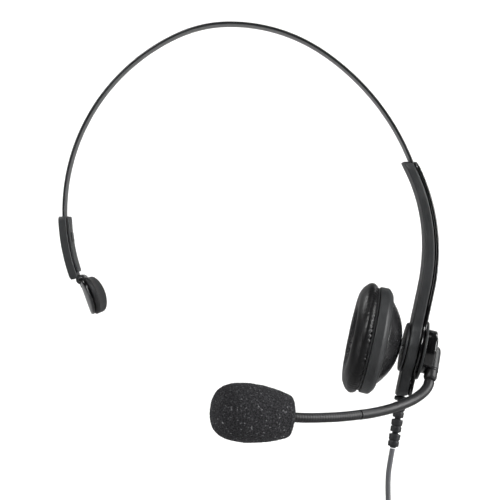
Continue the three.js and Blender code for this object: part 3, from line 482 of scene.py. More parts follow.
def arm_half_width(height):
    """Half the arm's width at a height: a tongue, round at the hub, narrower and rounded at its foot."""
    away = height - HUB_HEIGHT
    side = ARM_HALF if away > 0 else FOOT_HALF
    across = math.sqrt(max(0.0, HUB_HALF ** 2 - away ** 2))
    spread = 3.0
    width = max(side, across) + spread * math.exp(-abs(across - side) / spread * 1.6) * 0.28
    top, foot = ARM_TOP - height, height - ARM_FOOT
    if top < 4:
        width -= 4 - math.sqrt(16 - (4 - top) ** 2)
    if foot < 3:
        width -= 3 - math.sqrt(9 - (3 - foot) ** 2)
    return min(width, HUB_HALF)


def arm_layer(inner, outer, radius):
    """Rings of the arm's section from top to foot, between two edges, with rounded corners."""
    steps = 170
    ends = [0.02, 0.12, 0.3, 0.6, 1.0, 1.5, 2.1, 2.8]
    down = ends + [3.6 + (ARM_TOP - ARM_FOOT - 7.2) * k / steps for k in range(steps + 1)]
    down += [ARM_TOP - ARM_FOOT - e for e in reversed(ends)]
    rings = []
    for drop in down:
        height = ARM_TOP - drop
        a, b = inner(height), outer(height)
        half = arm_half_width(height)
        ease = max(0.02, min(1.0, 1 - (1 - min(drop, ARM_TOP - ARM_FOOT - drop, 0.6) / 0.6) ** 2)) ** 0.5
        shrink = radius * (1 - ease)
        corner = radius * 0.98 * min(1, ease + 0.3)
        section = soft_box(b - a - 2 * shrink, 2 * (half - shrink), corner)
        rings.append([Vector(((a + b) / 2 + x, y, height)) for x, y in section])
    return rings


def strip_slab(centre, low, high, first, last, half):
    """A curved bar about the ear side's arc, in degrees above level."""
    rings = []
    for step in range(25):
        turn = math.radians(first + (last - first) * step / 24)
        away = Vector((math.cos(turn), 0, math.sin(turn)))
        rings.append([centre + away * radius + Vector((0, y, 0))
                      for radius, y in ((low, -half), (low, half), (high, half), (high, -half))])
    return rings


def turned(profile, place=Matrix(), sides=64):
    """Rings about X from (along, radius) points, in a frame."""
    return [[place @ Vector((x, r * math.cos(2 * math.pi * k / sides),
                             r * math.sin(2 * math.pi * k / sides))) for k in range(sides)]
            for x, r in profile]


def rod(start, end, radius, place, sides=48):
    return turned([(start, radius), (end, radius)], place, sides)


def carve(piece, cutters, operation="DIFFERENCE"):
    """Cuts closed forms, given as rings in millimetres, out of a piece, or joins them to it."""
    for rings in cutters:
        tool = made_of("cutter", rings, piece.data.materials[0])
        cut = piece.modifiers.new("cut", "BOOLEAN")
        cut.operation = operation
        cut.solver = "EXACT"
        cut.object = tool
        apply_modifiers(piece)
        bpy.data.objects.remove(tool)
    piece.data.set_sharp_from_angle(angle=math.radians(35))


def apply_modifiers(piece):
    """Bakes a piece's modifiers into its mesh."""
    graph = bpy.context.evaluated_depsgraph_get()
    result = bpy.data.meshes.new_from_object(piece.evaluated_get(graph))
    piece.modifiers.clear()
    old = piece.data
    piece.data = result
    bpy.data.meshes.remove(old)


def textured_abs(name, low, high, roughness, grain_mm, depth_mm):
    """ABS from a spark-eroded mould: fine random pits that break up its sheen, a little shine on edges."""
    made, tree, shader = new_material(name)
    place = add_node(tree, "ShaderNodeTexCoord").outputs["Object"]
    wear = mottle(tree, shader, place, 9, low, high)
    grain = add_node(tree, "ShaderNodeTexVoronoi", inputs={"Scale": 1 / (grain_mm * MM)},
                     links={"Vector": place})
    fine = add_node(tree, "ShaderNodeTexNoise", inputs={"Scale": 2 / (grain_mm * MM), "Detail": 2.0},
                    links={"Vector": place})
    both = add_node(tree, "ShaderNodeMath", {"operation": "ADD"})
    tree.links.new(grain.outputs["Distance"], both.inputs[0])
    tree.links.new(fine.outputs["Fac"], both.inputs[1])
    fine_bump(tree, shader, both.outputs["Value"], depth_mm, 0.7)
    vary_roughness(tree, shader, wear, roughness - 0.05, roughness + 0.06)
    shader.inputs["IOR"].default_value = 1.54
    shader.inputs["Specular IOR Level"].default_value = 0.25
    return made


def polished_abs(name, low, high, roughness):
    """ABS from a polished mould: a clear gloss with faint sink waves and a few hairline rubs."""
    made, tree, shader = new_material(name)
    place = add_node(tree, "ShaderNodeTexCoord").outputs["Object"]
    mottle(tree, shader, place, 5, low, high)
    waves = add_node(tree, "ShaderNodeTexNoise", inputs={"Scale": 1 / (4 * MM), "Detail": 1.0},
                     links={"Vector": place})
    rubs = add_node(tree, "ShaderNodeTexNoise", links={"Vector": place},
                    inputs={"Scale": 1 / (0.5 * MM), "Detail": 6.0, "Distortion": 2.0})
    fine_bump(tree, shader, waves.outputs["Fac"], 0.02, 0.5)
    vary_roughness(tree, shader, rubs.outputs["Fac"], roughness - 0.04, roughness + 0.08)
    shader.inputs["IOR"].default_value = 1.54
    return made


shell_abs = textured_abs("textured_black_abs", "#1b1c1d", "#272829", 0.46, 0.4, 0.04)
gloss_abs = polished_abs("polished_black_abs", "#060607", "#0b0b0c", 0.14)


def screw_place(across, height):
    """Local X runs outwards, square to the arm's outer face."""
    return Matrix.Translation((arm_outer(height), across, height)) @ Matrix.Rotation(ARM_LEAN, 4, "Y")


ARM_SCREWS = [screw_place(0, -121.0), screw_place(-3.9, -160.6)]
BOOT = Matrix.Translation((77.2, 0, -166.2)) @ Matrix.Rotation(math.radians(90 + 9.5), 4, "Y")


def make_arm():
    seam = COVER_THICKNESS + GAP
    shell = made_of("arm_moulding", arm_layer(arm_inner, lambda z: arm_outer(z, seam), 0.9), shell_abs)
    inside = SIDE_RADIUS[1] - BAND_THICKNESS / 2 - SLIDE_GAP
    mouth = strip_slab(EAR_CENTRE, inside, inside + BAND_THICKNESS + 2 * SLIDE_GAP, 14, 32, 6.35)
    chamber = strip_slab(EAR_CENTRE, inside, 118.2, -7, 15, 6.35)
    wires = [[Vector((arm_outer(z, seam + 2.2 if deep else -3), y, z)) for deep, y in
              ((1, -2.2), (1, 2.2), (0, 2.2), (0, -2.2))] for z in (-141, -151, -162)]
    carve(shell, [mouth, chamber, wires, rod(-20, 20, 4.6, HUB), rod(-20, -1.2, 6.2, HUB),
                  rod(-4, 4, 1.8, BOOT), rod(-6.5, -1.9, 2.4, BOOT),
                  *[rod(-5.8, 1, 1.1, p) for p in ARM_SCREWS]])
    layer = arm_layer(lambda z: arm_outer(z, COVER_THICKNESS), arm_outer, 0.68)
    cover = made_of("arm_cover_moulding", layer, gloss_abs)
    carve(cover, [rod(-20, 20, 4.6, HUB), *[rod(-4, 6, 1.1, p) for p in ARM_SCREWS],
                  *[rod(-0.9, 6, 1.8, p) for p in ARM_SCREWS]])
    return shell, cover


arm_moulding, arm_cover_moulding = make_arm()
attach(arm_moulding, "arm")
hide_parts("arm_shell")
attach(arm_cover_moulding, "arm")
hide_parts("arm_cover")


# ---------------------------------------------------------------- arm's fittings
# The detent spring that the strip's end rides under, the two cover screws, and the wires in their
# channel. All are inside the arm or flush with it.
def drawn_metal(name, low, high, roughness, grain_mm):
    """Bare metal with fine random scuffs from drawing or stamping, which spread its highlights."""
    made, tree, shader = new_material(name)
    place = add_node(tree, "ShaderNodeTexCoord").outputs["Object"]
    wear = mottle(tree, shader, place, 2, low, high)
    scuffs = add_node(tree, "ShaderNodeTexNoise", inputs={"Scale": 1 / (grain_mm * MM), "Detail": 8.0},
                      links={"Vector": place})
    fine_bump(tree, shader, scuffs.outputs["Fac"], 0.01, 0.6)
    vary_roughness(tree, shader, wear, roughness, roughness + 0.12)
    shader.inputs["Metallic"].default_value = 1.0
    return made


def dress(material, *names):
    """Gives a CAD node's surface a finish."""
    for name in names:
        NODES[name].material_slots[0].material = material


bright_steel = drawn_metal("nickel_plated_steel", "#b4b5b6", "#d2d3d3", 0.2, 0.4)
spring_leaf = drawn_metal("spring_steel_leaf", "#85888c", "#a5a8ab", 0.28, 0.3)
copper_lacquer = drawn_metal("lacquered_copper", "#a3602f", "#c07a44", 0.25, 0.15)
bobbin_nylon = textured_abs("natural_nylon", "#cfcabb", "#ddd9cd", 0.42, 0.5, 0.01)
dress(spring_leaf, "arm_detent_spring", "hub_washer", "speaker_magnet")
dress(bright_steel, "arm_screw_1", "arm_screw_2", "ball_stud", "hub_screw", "mic_capsule")
dress(black_enamel, "temple_pin")
dress(copper_lacquer, "voice_coil")
dress(bobbin_nylon, "ball_liner")
dress(shell_abs, "band_stop_ear", "band_stop_temple", "speaker_frame", "speaker_baffle", "cushion_retainer",
      "mic_housing")
dress(pvc_jacket("inner_wire_pvc", "#3c3d40", 0.45), "arm_wires")


# ---------------------------------------------------------------- ear cup
# A domed ABS back on a ball joint and a ring round its front that holds the speaker's baffle. The
# flange against the arm covers the ball's socket. The dome is satin, the ring and flange matt.
def rounded(points, radius=0.35, steps=4):
    """A profile with its corners turned into small arcs. A third number gives a corner its own radius."""
    line = [Vector(points[0][:2])]
    for before, corner, after in zip(points, points[1:], points[2:]):
        a, b, c = Vector(before[:2]), Vector(corner[:2]), Vector(after[:2])
        r = corner[2] if len(corner) > 2 else radius
        r = min(r, (a - b).length * 0.48, (c - b).length * 0.48)
        p, q = b + (a - b).normalized() * r, b + (c - b).normalized() * r
        for step in range(steps + 1):
            t = step / steps
            line.append(p * (1 - t) ** 2 + b * (2 * t * (1 - t)) + q * t * t)
    return [tuple(v) for v in line + [Vector(points[-1][:2])]]


def turned_piece(name, profile, material, place=HUB, sides=96, radius=0.35, loop=False):
    """A turned piece with softened corners. A loop's profile comes back to its start."""
    if loop:
        start = [(profile[0][i] + profile[-1][i]) / 2 for i in (0, 1)]
        line = rounded([start, *profile, start], radius)[:-1]
        return made_of(name, turned(line, place, sides), material, closed=True)
    return made_of(name, turned(rounded(profile, radius), place, sides), material)


def smooth_profile(points, steps=5):
    """A smooth line through (along, radius) points."""
    return [tuple(v) for v in smooth_run([Vector(p) for p in points], steps)]


CUP_APEX = -HUB_FACE - GAP - 1.2 - 1.2
CUP_FRONT = CUP_APEX - 14.0
BALL_CENTRE = CUP_APEX - 3.9
CUP_RADIUS = 24.3


def dome_profile():
    """The back's section: the smooth dome outside, then the rim, then the hollow with its ball seat."""
    a = CUP_APEX
    outside = smooth_profile([(a - 0.02, 3.3), (a - 0.2, 5.4), (a - 1.2, 9.4), (a - 2.8, 13.0),
                              (a - 4.7, 16.0), (a - 6.5, 18.3), (a - 7.6, 19.3)], 4)
    seat = [(BALL_CENTRE + 4.0 * math.cos(math.radians(d)), 4.0 * math.sin(math.radians(d)))
            for d in range(98, 46, -6)]
    return [(a - 0.5, 2.96), *outside, (a - 9.3, 19.3), (a - 9.3, 21.7), (a - 10.6, 21.7), (a - 10.6, 17.8),
            (a - 8.0, 17.5), (a - 5.6, 14.6), (a - 3.6, 10.6), (a - 2.6, 5.9), (a - 5.2, 5.6), *seat]


def ring_profile():
    f, r = CUP_FRONT, CUP_RADIUS
    return [(f, 22.0), (f, r - 0.1, 0.5), (f + 3.8, r, 0.8), (f + 4.6, r - 0.5, 0.6),
            (f + 6.2, r - 2.4, 0.8), (f + 6.6, 19.6), (f + 5.0, 19.6), (f + 5.0, 22.0)]


def add_turned(name, profile, material, node, body, place=HUB, sides=96, radius=0.35, loop=False):
    piece = turned_piece(name, profile, material, place, sides, radius, loop)
    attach(piece, body)
    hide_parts(node)
    return piece


def flange_profile():
    inner = -HUB_FACE - GAP
    outer = inner - 1.25
    return [(outer, 1.8), (outer, 10.9, 0.5), (inner - 0.1, 11.2, 0.4), (inner, 3.1), (inner - 1.05, 3.1),
            (inner - 1.05, 1.8)]


satin_abs = textured_abs("satin_black_abs", "#121213", "#1c1c1d", 0.27, 0.6, 0.01)
add_turned("cup_dome", dome_profile(), satin_abs, "cup_back", "ear_cup", radius=0.2,
           loop=True)
add_turned("cup_front_ring", ring_profile(), shell_abs, "cup_ring", "ear_cup", loop=True)
add_turned("pivot_flange_moulding", flange_profile(), shell_abs, "pivot_flange", "arm",
           loop=True)

felt_black, felt_tree, felt_shader = new_material("needled_black_felt")
felt_place = add_node(felt_tree, "ShaderNodeTexCoord").outputs["Object"]
mottle(felt_tree, felt_shader, felt_place, 0.6, "#0d0d0e", "#232324")
felt_hair = add_node(felt_tree, "ShaderNodeTexNoise", inputs={"Scale": 1 / (0.25 * MM), "Detail": 6.0,
                     "Distortion": 1.5}, links={"Vector": felt_place})
fine_bump(felt_tree, felt_shader, felt_hair.outputs["Fac"], 0.2)
felt_shader.inputs["Roughness"].default_value = 0.95
dress(felt_black, "acoustic_felt", "mic_felt")

film, film_tree, film_shader = new_material("polyester_cone_film")
film_place = add_node(film_tree, "ShaderNodeTexCoord").outputs["Object"]
mottle(film_tree, film_shader, film_place, 3, "#8a836f", "#a59d88")
film_shader.inputs["Roughness"].default_value = 0.25
dress(film, "speaker_diaphragm")


# ---------------------------------------------------------------- ear cushion
# Foam in a leatherette sleeve that is sewn to the retainer at the back and turned in round the hole.
# The thread draws the sleeve into small pleats along both seams, and the foam keeps it full between.
RETAINER = 0.9
CUSHION_DEPTH = 7.0
CUSHION_BACK = CUP_FRONT - 2 * GAP - RETAINER
CUSHION_FACE = CUSHION_BACK - CUSHION_DEPTH
CUSHION_RADIUS = 24.4
CUSHION_HOLE = 12.6
PLEATS = 72
SWELL_ROOM = 0.2
SWELL_CAP = 0.35
CLOTH_SCALE = 10.0


def leatherette():
    """Polyurethane-coated cloth: a pebbled skin with a soft shine, duller where it is creased."""
    made, tree, shader = new_material("black_leatherette")
    place = add_node(tree, "ShaderNodeTexCoord").outputs["Object"]
    wear = mottle(tree, shader, place, 4, "#060607", "#0d0d0e")
    pebbles = add_node(tree, "ShaderNodeTexVoronoi", {"feature": "SMOOTH_F1"},
                       {"Scale": 1 / (0.55 * MM), "Smoothness": 0.6}, {"Vector": place})
    creases = add_node(tree, "ShaderNodeTexNoise", links={"Vector": place},
                       inputs={"Scale": 1 / (1.6 * MM), "Detail": 6.0, "Distortion": 0.8})
    both = add_node(tree, "ShaderNodeMath", {"operation": "MULTIPLY_ADD"})
    tree.links.new(creases.outputs["Fac"], both.inputs[0])
    both.inputs[1].default_value = 1.6
    tree.links.new(pebbles.outputs["Distance"], both.inputs[2])
    fine_bump(tree, shader, both.outputs["Value"], 0.05, 0.8)
    vary_roughness(tree, shader, wear, 0.3, 0.44)
    shader.inputs["IOR"].default_value = 1.5
    shader.inputs["Specular IOR Level"].default_value = 0.2
    return made


def cushion_rings():
    """The sleeve from its outer seam, over the face, to its inner seam, pleated along both."""
    b, r, h, face = CUSHION_BACK, CUSHION_RADIUS, CUSHION_HOLE, CUSHION_FACE
    line = smooth_profile([(b, r - 4.6), (b + 0.1, r - 2.2), (b - 0.3, r - 0.8), (b - 1.4, r - 0.1),
                           (b - 2.9, r + 0.05), (b - 4.5, r - 0.7), (b - 6.0, r - 2.5),
                           (face + 0.1, r - 5.0), (face, 16.6), (face + 0.25, h + 2.2), (b - 6.0, h + 0.9),
                           (b - 4.2, h + 0.1), (b - 2.1, h + 0.1), (b, h + 0.5), (b + 0.1, h + 2.0)], 4)
    outer_seam, inner_seam = Vector((b - 0.1, r - 1.0)), Vector((b - 6.0, h + 1.0))
    sides = PLEATS * 5
    rings = []
    for index, point in enumerate(line):
        spot = Vector(point)
        along = (Vector(line[min(index + 1, len(line) - 1)]) - Vector(line[max(index - 1, 0)])).normalized()
        normal = Vector((along.y, -along.x))
        draw = 0.3 * math.exp(-(spot - outer_seam).length / 1.6)
        draw += 0.18 * math.exp(-(spot - inner_seam).length / 1.5)
        ring = []
        for k in range(sides):
            turn = 2 * math.pi * k / sides
            drift = noise.noise(Vector((math.cos(turn) * 5, math.sin(turn) * 5, spot.x * 0.35)))
            pleat = math.sin(PLEATS * turn + 6 * drift) * max(0.15, 0.6 + 1.3 * drift)
            slack = noise.noise(Vector((math.cos(turn) * 2.2, math.sin(turn) * 2.2, spot.y * 0.22))) * 0.25
            moved = spot - normal * (draw * (0.15 - pleat) + SWELL_ROOM - slack * 0.6)
            ring.append(HUB @ Vector((moved.x, moved.y * math.cos(turn), moved.y * math.sin(turn))))
        rings.append(ring)
    return rings


def fill_with_air(piece, pinned, cap_mm, pressure=4.0, slack=0.012):
    """Blows a sleeve up as cloth, held at its pinned points, and limits how far any point has moved."""
    start = [v.co.copy() for v in piece.data.vertices]
    for vertex in piece.data.vertices:
        vertex.co *= CLOTH_SCALE
    held = piece.vertex_groups.new(name="held")
    held.add(pinned, 1.0, "REPLACE")
    cloth = piece.modifiers.new("cloth", "CLOTH")
    cloth.settings.quality = 6
    cloth.settings.mass = 0.3
    cloth.settings.tension_stiffness = 25
    cloth.settings.compression_stiffness = 25
    cloth.settings.bending_stiffness = 0.4
    cloth.settings.vertex_group_mass = "held"
    cloth.settings.use_pressure = True
    cloth.settings.uniform_pressure_force = pressure
    cloth.settings.shrink_min = -slack
    cloth.settings.effector_weights.gravity = 0
    cloth.collision_settings.use_collision = False
    for number in range(1, 21):
        scene.frame_set(number)
    apply_modifiers(piece)
    cap = cap_mm * MM
    for vertex, home in zip(piece.data.vertices, start):
        moved = vertex.co / CLOTH_SCALE - home
        vertex.co = home + moved * min(1.0, cap / max(moved.length, 1e-9))
    scene.frame_set(1)


def make_cushion():
    rings = cushion_rings()
    count, sides = len(rings), len(rings[0])
    vertices, faces = skin(rings)
    piece = mesh_piece("ear_cushion", [v * MM for v in vertices], faces[:-2], leatherette())
    edges = [*range(0, 4), *range(count - 6, count)]
    fill_with_air(piece, [row * sides + k for row in edges for k in range(sides)], SWELL_CAP)
    skin_depth = piece.modifiers.new("thickness", "SOLIDIFY")
    skin_depth.thickness = 0.6 * MM
    skin_depth.offset = -1
    apply_modifiers(piece)
    outwards(piece)
    return piece


ear_cushion = make_cushion()
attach(ear_cushion, "ear_cup")
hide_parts("cushion_cover")


def open_foam(name, low, high, cell_mm, depth_mm):
    """Open-cell polyurethane foam, matt: its own grey on the struts, with painted shade in the cell
    holes and painted glints as a few bright specks.
    """
    made, tree, shader = new_material(name)
    place = add_node(tree, "ShaderNodeTexCoord").outputs["Object"]
    cells = add_node(tree, "ShaderNodeTexVoronoi", {"feature": "F1"}, {"Scale": 1 / (cell_mm * MM)},
                     {"Vector": place})
    froth = add_node(tree, "ShaderNodeTexNoise", inputs={"Scale": 1 / (cell_mm * 0.9 * MM), "Detail": 5.0,
                     "Roughness": 0.7}, links={"Vector": place})
    relief_for_painted_shade_and_glints = add_node(tree, "ShaderNodeMath", {"operation": "MULTIPLY"})
    tree.links.new(cells.outputs["Distance"], relief_for_painted_shade_and_glints.inputs[0])
    tree.links.new(froth.outputs["Fac"], relief_for_painted_shade_and_glints.inputs[1])
    ramp = add_node(tree, "ShaderNodeValToRGB", links={"Fac": relief_for_painted_shade_and_glints.outputs["Value"]})
    # The ramp runs from painted shade in the cells' holes up to the foam's own grey on the struts.
    ramp.color_ramp.elements[0].position = 0.08
    ramp.color_ramp.elements[1].position = 0.42
    ramp.color_ramp.elements[0].color = linear(low)
    ramp.color_ramp.elements[1].color = linear(high)
    # A third, bright step paints highlights on a few struts: painted glints, not a real colour.
    painted_glint = ramp.color_ramp.elements.new(0.7)
    painted_glint.color = linear("#8c8c8e")
    tree.links.new(ramp.outputs["Color"], shader.inputs["Base Color"])
    fine_bump(tree, shader, relief_for_painted_shade_and_glints.outputs["Value"], depth_mm, 1.0)
    shader.inputs["Roughness"].default_value = 1.0
    shader.inputs["Specular IOR Level"].default_value = 0.2
    return made


# The darker colour is painted shade in the cell holes; the bright specks are painted glints.
dress(open_foam("grey_cushion_foam", "#39393a", "#6b6b6c", 0.8, 0.2), "cushion_foam")


# ---------------------------------------------------------------- boom hub
# An ABS bezel screwed to the arm, the puck that turns in it with the boom's socket moulded across,
# and a glossy cap over the screw. The socket's ring line is where the rubber collar is pressed in.
PUCK_FROM = HUB_FACE + 2 * GAP + 1.0
SOCKET_LEAN = Matrix.Rotation(math.radians(-27), 4, "X") @ Matrix.Rotation(math.radians(90), 4, "Y")
SOCKET = HUB @ Matrix.Translation((9.6, 0, 0)) @ SOCKET_LEAN

soft_rubber = textured_abs("matt_black_rubber", "#101011", "#18181a", 0.45, 0.3, 0.01)


def make_hub():
    puck_to = PUCK_FROM + 4.4
    bezel = [(HUB_FACE + GAP, 4.6), (HUB_FACE + GAP, 13.3, 0.1), (HUB_FACE + GAP + 1.0, 13.3, 0.45),
             (HUB_FACE + GAP + 1.0, 4.6)]
    add_turned("hub_bezel_ring", bezel, shell_abs, "hub_bezel", "arm", loop=True)
    clear = rod(-3.7, 22, 3.4, SOCKET)
    puck = [(-1.3, 1.5), (-1.3, 4.25, 0.2), (PUCK_FROM, 4.25, 0.2), (PUCK_FROM, 10.0, 0.3),
            (puck_to, 9.9, 0.9), (puck_to, 7.7, 0.15), (puck_to - 1.0, 7.7, 0.1), (puck_to - 1.0, 0.02)]
    puck += [(puck_to - 2.4, 0.02), (puck_to - 2.4, 1.5)]
    turning = add_turned("hub_turning_puck", puck, gloss_abs, "hub_puck", "boom", loop=True)
    carve(turning, [clear])
    cap = [(puck_to - 0.7, 0.02), (puck_to - 0.7, 7.4, 0.1), (puck_to + 0.7, 7.4, 0.5),
           (puck_to + 1.0, 5.0, 1.5), (puck_to + 1.05, 0.02)]
    carve(add_turned("hub_glossy_cap", cap, gloss_abs, "hub_cap", "boom"), [clear])
    socket = smooth_profile([(-3.4, 0.3), (-3.2, 1.3), (-2.5, 2.4), (-1.2, 3.0), (0.4, 3.1)], 4)
    add_turned("boom_socket_barrel", [*socket, (8.0, 3.1, 0.15), (8.0, 0.3)], shell_abs, "boom_socket",
               "boom", SOCKET, 64)
    collar = [(8.3, 0.3), (8.3, 3.2, 0.1), (8.9, 3.2, 0.2), (9.2, 2.95, 0.1), (12.4, 2.95, 0.7),
              (13.4, 2.4, 0.5), (13.4, 0.3)]
    add_turned("boom_rubber_collar", collar, soft_rubber, "socket_collar", "boom", SOCKET,
               64)


make_hub()


# ---------------------------------------------------------------- boom and gooseneck
# A rubber sleeve over sprung steel wire, thicker at the socket. Its front part is a gooseneck: the
# same wire inside a jacket with close ring grooves, so that it bends and stays bent.
BOOM_RUN = [(89.1, -6.3, -159.5), (88.3, -7.8, -161.6), (86.3, -9.7, -164.0), (82.8, -12.2, -166.4),
            (79.0, -15.0, -168.1), (74.8, -18.5, -169.4), (70.2, -22.5, -170.5), (65.5, -26.7, -171.2),
            (60.8, -31.0, -171.7), (56.2, -35.2, -171.9),]
NECK_RUN = [(55.8, -35.5, -171.9), (52.4, -38.4, -172.0), (48.8, -41.15, -172.1), (45.0, -43.9, -172.1),
            (41.2, -46.55, -172.0), (37.2, -49.0, -171.9), (33.2, -51.4, -171.7), (29.6, -53.4, -171.4),
            (26.0, -55.2, -170.95),]
NECK_RADIUS = 2.14
RIB_PITCH = 1.3
TUBE_SIDES = 28


def tube_rings(line, radius_at, sides=TUBE_SIDES):
    """Rings along a line, without twist. radius_at gives the radius at a distance along it."""
    rings, gone = [], 0.0
    across = None
    for index, point in enumerate(line):
        ahead = (line[min(index + 1, len(line) - 1)] - line[max(index - 1, 0)]).normalized()
        across = ahead.orthogonal() if across is None else across - ahead * across.dot(ahead)
        across.normalize()
        other = ahead.cross(across)
        if index:
            gone += (point - line[index - 1]).length
        radius = radius_at(gone)
        rings.append([point + across * (radius * math.cos(2 * math.pi * k / sides))
                      + other * (radius * math.sin(2 * math.pi * k / sides)) for k in range(sides)])
    return rings


def even_line(points, spacing):
    """A smooth line through the points, resampled at an even spacing."""
    line = smooth_run([Vector(p) for p in points], 24)
    even, left = [line[0].copy()], spacing
    for a, b in zip(line, line[1:]):
        length, gone = (b - a).length, 0.0
        while length - gone >= left:
            gone += left
            even.append(a.lerp(b, gone / length))
            left = spacing
        left -= length - gone
    if (even[-1] - line[-1]).length > spacing * 0.3:
        even.append(line[-1].copy())
    return even


def make_boom():
    spacing = 0.6
    line = even_line(BOOM_RUN, spacing)
    total = spacing * len(line)

    def radius_at(gone):
        taper = 2.4 - 0.22 * min(1.0, gone / (total * 0.6))
        return min(taper, 2.1 + 2 * min(gone, total - gone))

    sleeve = made_of("boom_rubber_sleeve", tube_rings(line, radius_at), soft_rubber)
    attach(sleeve, "boom")
    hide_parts("boom_sleeve")


def rib_radius(gone):
    """The gooseneck's radius at a distance along it: round ribs with narrow grooves between them."""
    phase = gone / RIB_PITCH % 1.0
    groove = math.exp(-((phase - 0.5) / 0.2) ** 2)
    return NECK_RADIUS - 0.08 * groove


def make_gooseneck():
    """Three lengths that meet in the middles of the inner links. None is attached to a body, so they stay
    where they are made.
    """
    spacing = 0.13
    line = even_line(NECK_RUN, spacing)
    cuts = [0, round(len(line) * 0.375), round(len(line) * 0.625), len(line) - 1]
    joints = ["gooseneck_bend", "gooseneck_bend_middle", "gooseneck_bend_front"]
    nodes = [["gooseneck_1", "gooseneck_2"], ["gooseneck_3"], ["gooseneck_4"]]
    for index, joint in enumerate(joints):
        first, last = cuts[index], cuts[index + 1]
        part = line[first:last + 1]
        rings = tube_rings(part, lambda gone, start=first * spacing: rib_radius(gone + start))
        piece = made_of(f"gooseneck_length_{index + 1}", rings, soft_rubber, sharp=60)
        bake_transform(piece)
        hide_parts(*nodes[index])


make_boom()
make_gooseneck()


# ---------------------------------------------------------------- microphone windscreen
# A moulded plug of open-cell foam, pushed over the microphone's housing. Its skin is cut cells, so
# it looks like coarse matt sponge and its outline is a little ragged.
MIC_START = Vector((25.6, -55.4, -170.8))
MIC_AXIS = Vector((-0.955, -0.281, 0.11))
MIC = Matrix.Translation(MIC_START) @ MIC_AXIS.to_track_quat("X", "Z").to_matrix().to_4x4()
FOAM_CELL = 0.8
FOAM_BORE = 2.5
FOAM_POCKET = 4.8
FOAM_POCKET_END = 22.0


def foam_relief(spot):
    """How far the foam's skin stands out at a place: slow lumps, small lumps, and cut cells."""
    cells = noise.voronoi(spot / FOAM_CELL)[0][0]
    return noise.noise(spot * 1.9) * 0.14 + noise.noise(spot * 0.35) * 0.12 - 0.45 * max(0.0, 0.42 - cells)


def make_windscreen():
    outside = smooth_profile([(0.0, 6.6), (0.05, 7.8), (0.8, 8.9), (3.5, 9.9), (8.0, 11.1), (15.0, 12.2),
                              (21.0, 12.35), (26.0, 11.7), (29.5, 10.4), (31.8, 8.5), (33.2, 5.8),
                              (33.75, 3.0), (33.85, 0.2)], 12)
    sides = 240
    rings = []
    for x, r in [(0.0, FOAM_BORE), (0.0, 4.2), *outside]:
        ring = []
        for k in range(sides):
            turn = 2 * math.pi * k / sides
            spot = Vector((x, r * math.cos(turn), r * math.sin(turn)))
            outward = (spot - Vector((min(max(x, 9.0), 22.0), 0, 0))).normalized()
            ring.append(MIC @ (spot + outward * foam_relief(spot) * min(1.0, r / 4.2)))
        rings.append(ring)
    rings += turned([(FOAM_POCKET_END, 0.25), (FOAM_POCKET_END, FOAM_POCKET), (2.2, FOAM_POCKET),
                     (2.2, FOAM_BORE)], MIC, sides)
    # The darker colour is painted shade in the cell holes; the bright specks are painted glints.
    foam = open_foam("charcoal_windscreen_foam", "#08080a", "#29292b", 0.75, 0.5)
    piece = made_of("mic_foam_windscreen", rings, foam, closed=True, sharp=180)
    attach(piece, "microphone")
    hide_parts("mic_windscreen")


make_windscreen()


# ---------------------------------------------------------------- strain relief
# A soft PVC boot moulded on the cable where it leaves the arm: three segments joined by thin necks,
# each with a groove round its middle, so that the cable bends in a gentle curve.
def make_boot():
    profile = [(-3.2, 0.3), (-3.2, 2.1, 0.1), (-2.2, 2.1, 0.1), (-2.2, 1.5, 0.1), (0.7, 1.5, 0.1),
               (0.7, 3.0, 0.3), (2.5, 3.0, 0.4), (2.9, 1.35, 0.2)]
    for start in (4.4, 11.0, 17.6):
        profile += [(start, 1.35, 0.2), (start + 0.3, 2.6, 0.25), (start + 2.6, 2.55, 0.25),
                    (start + 2.9, 2.15, 0.15), (start + 3.3, 2.15, 0.15), (start + 3.6, 2.5, 0.25),
                    (start + 5.7, 2.45, 0.25), (start + 6.0, 1.35, 0.2)]
    profile += [(24.1, 1.35, 0.1), (24.1, 0.3)]
    return add_turned("strain_relief_moulding", profile, soft_rubber, "strain_relief_boot", "arm",
                      BOOT, 48)


strain_relief = make_boot()


# ---------------------------------------------------------------- temple holder
# A hollow ABS moulding, curved like the strip that slides in it, and an inner cover with a low lip
# for the thumb. Two ears at its foot hold the pad's steel pin.
TEMPLE_CENTRE = Vector(JOINTS["temple_slide"]["pos_m"]) / MM
PAD_PIVOT = Vector(JOINTS["pad_tilt"]["pos_m"]) / MM
HOLDER_TOP = 1.6
HOLDER_FOOT = 20.2


def temple_bar(inner, outer, top, foot, half, round_mm=0.0):
    """Rings of a curved bar about the temple side's arc, in degrees below level."""
    rings, steps = [], 40
    for step in range(steps + 1):
        turn = math.radians(180 + top + (foot - top) * step / steps)
        away = Vector((math.cos(turn), 0, math.sin(turn)))
        end = min(step, steps - step)
        shrink = round_mm * (0.7, 0.25, 0.0)[min(end, 2)]
        corner = max(round_mm - shrink * 0.6, 0.01)
        section = soft_box(outer - inner - 2 * shrink, 2 * (half - shrink), corner, 3)
        middle = TEMPLE_CENTRE + away * ((inner + outer) / 2)
        rings.append([middle + away * x + Vector((0, y, 0)) for x, y in section])
    return rings


def barrel(half, radius):
    """A cylinder across the headset, about the pad's pin."""
    turns = [2 * math.pi * k / 40 for k in range(40)]
    return [[PAD_PIVOT + Vector((radius * math.cos(turn), y, radius * math.sin(turn))) for turn in turns]
            for y in (-half, half)]


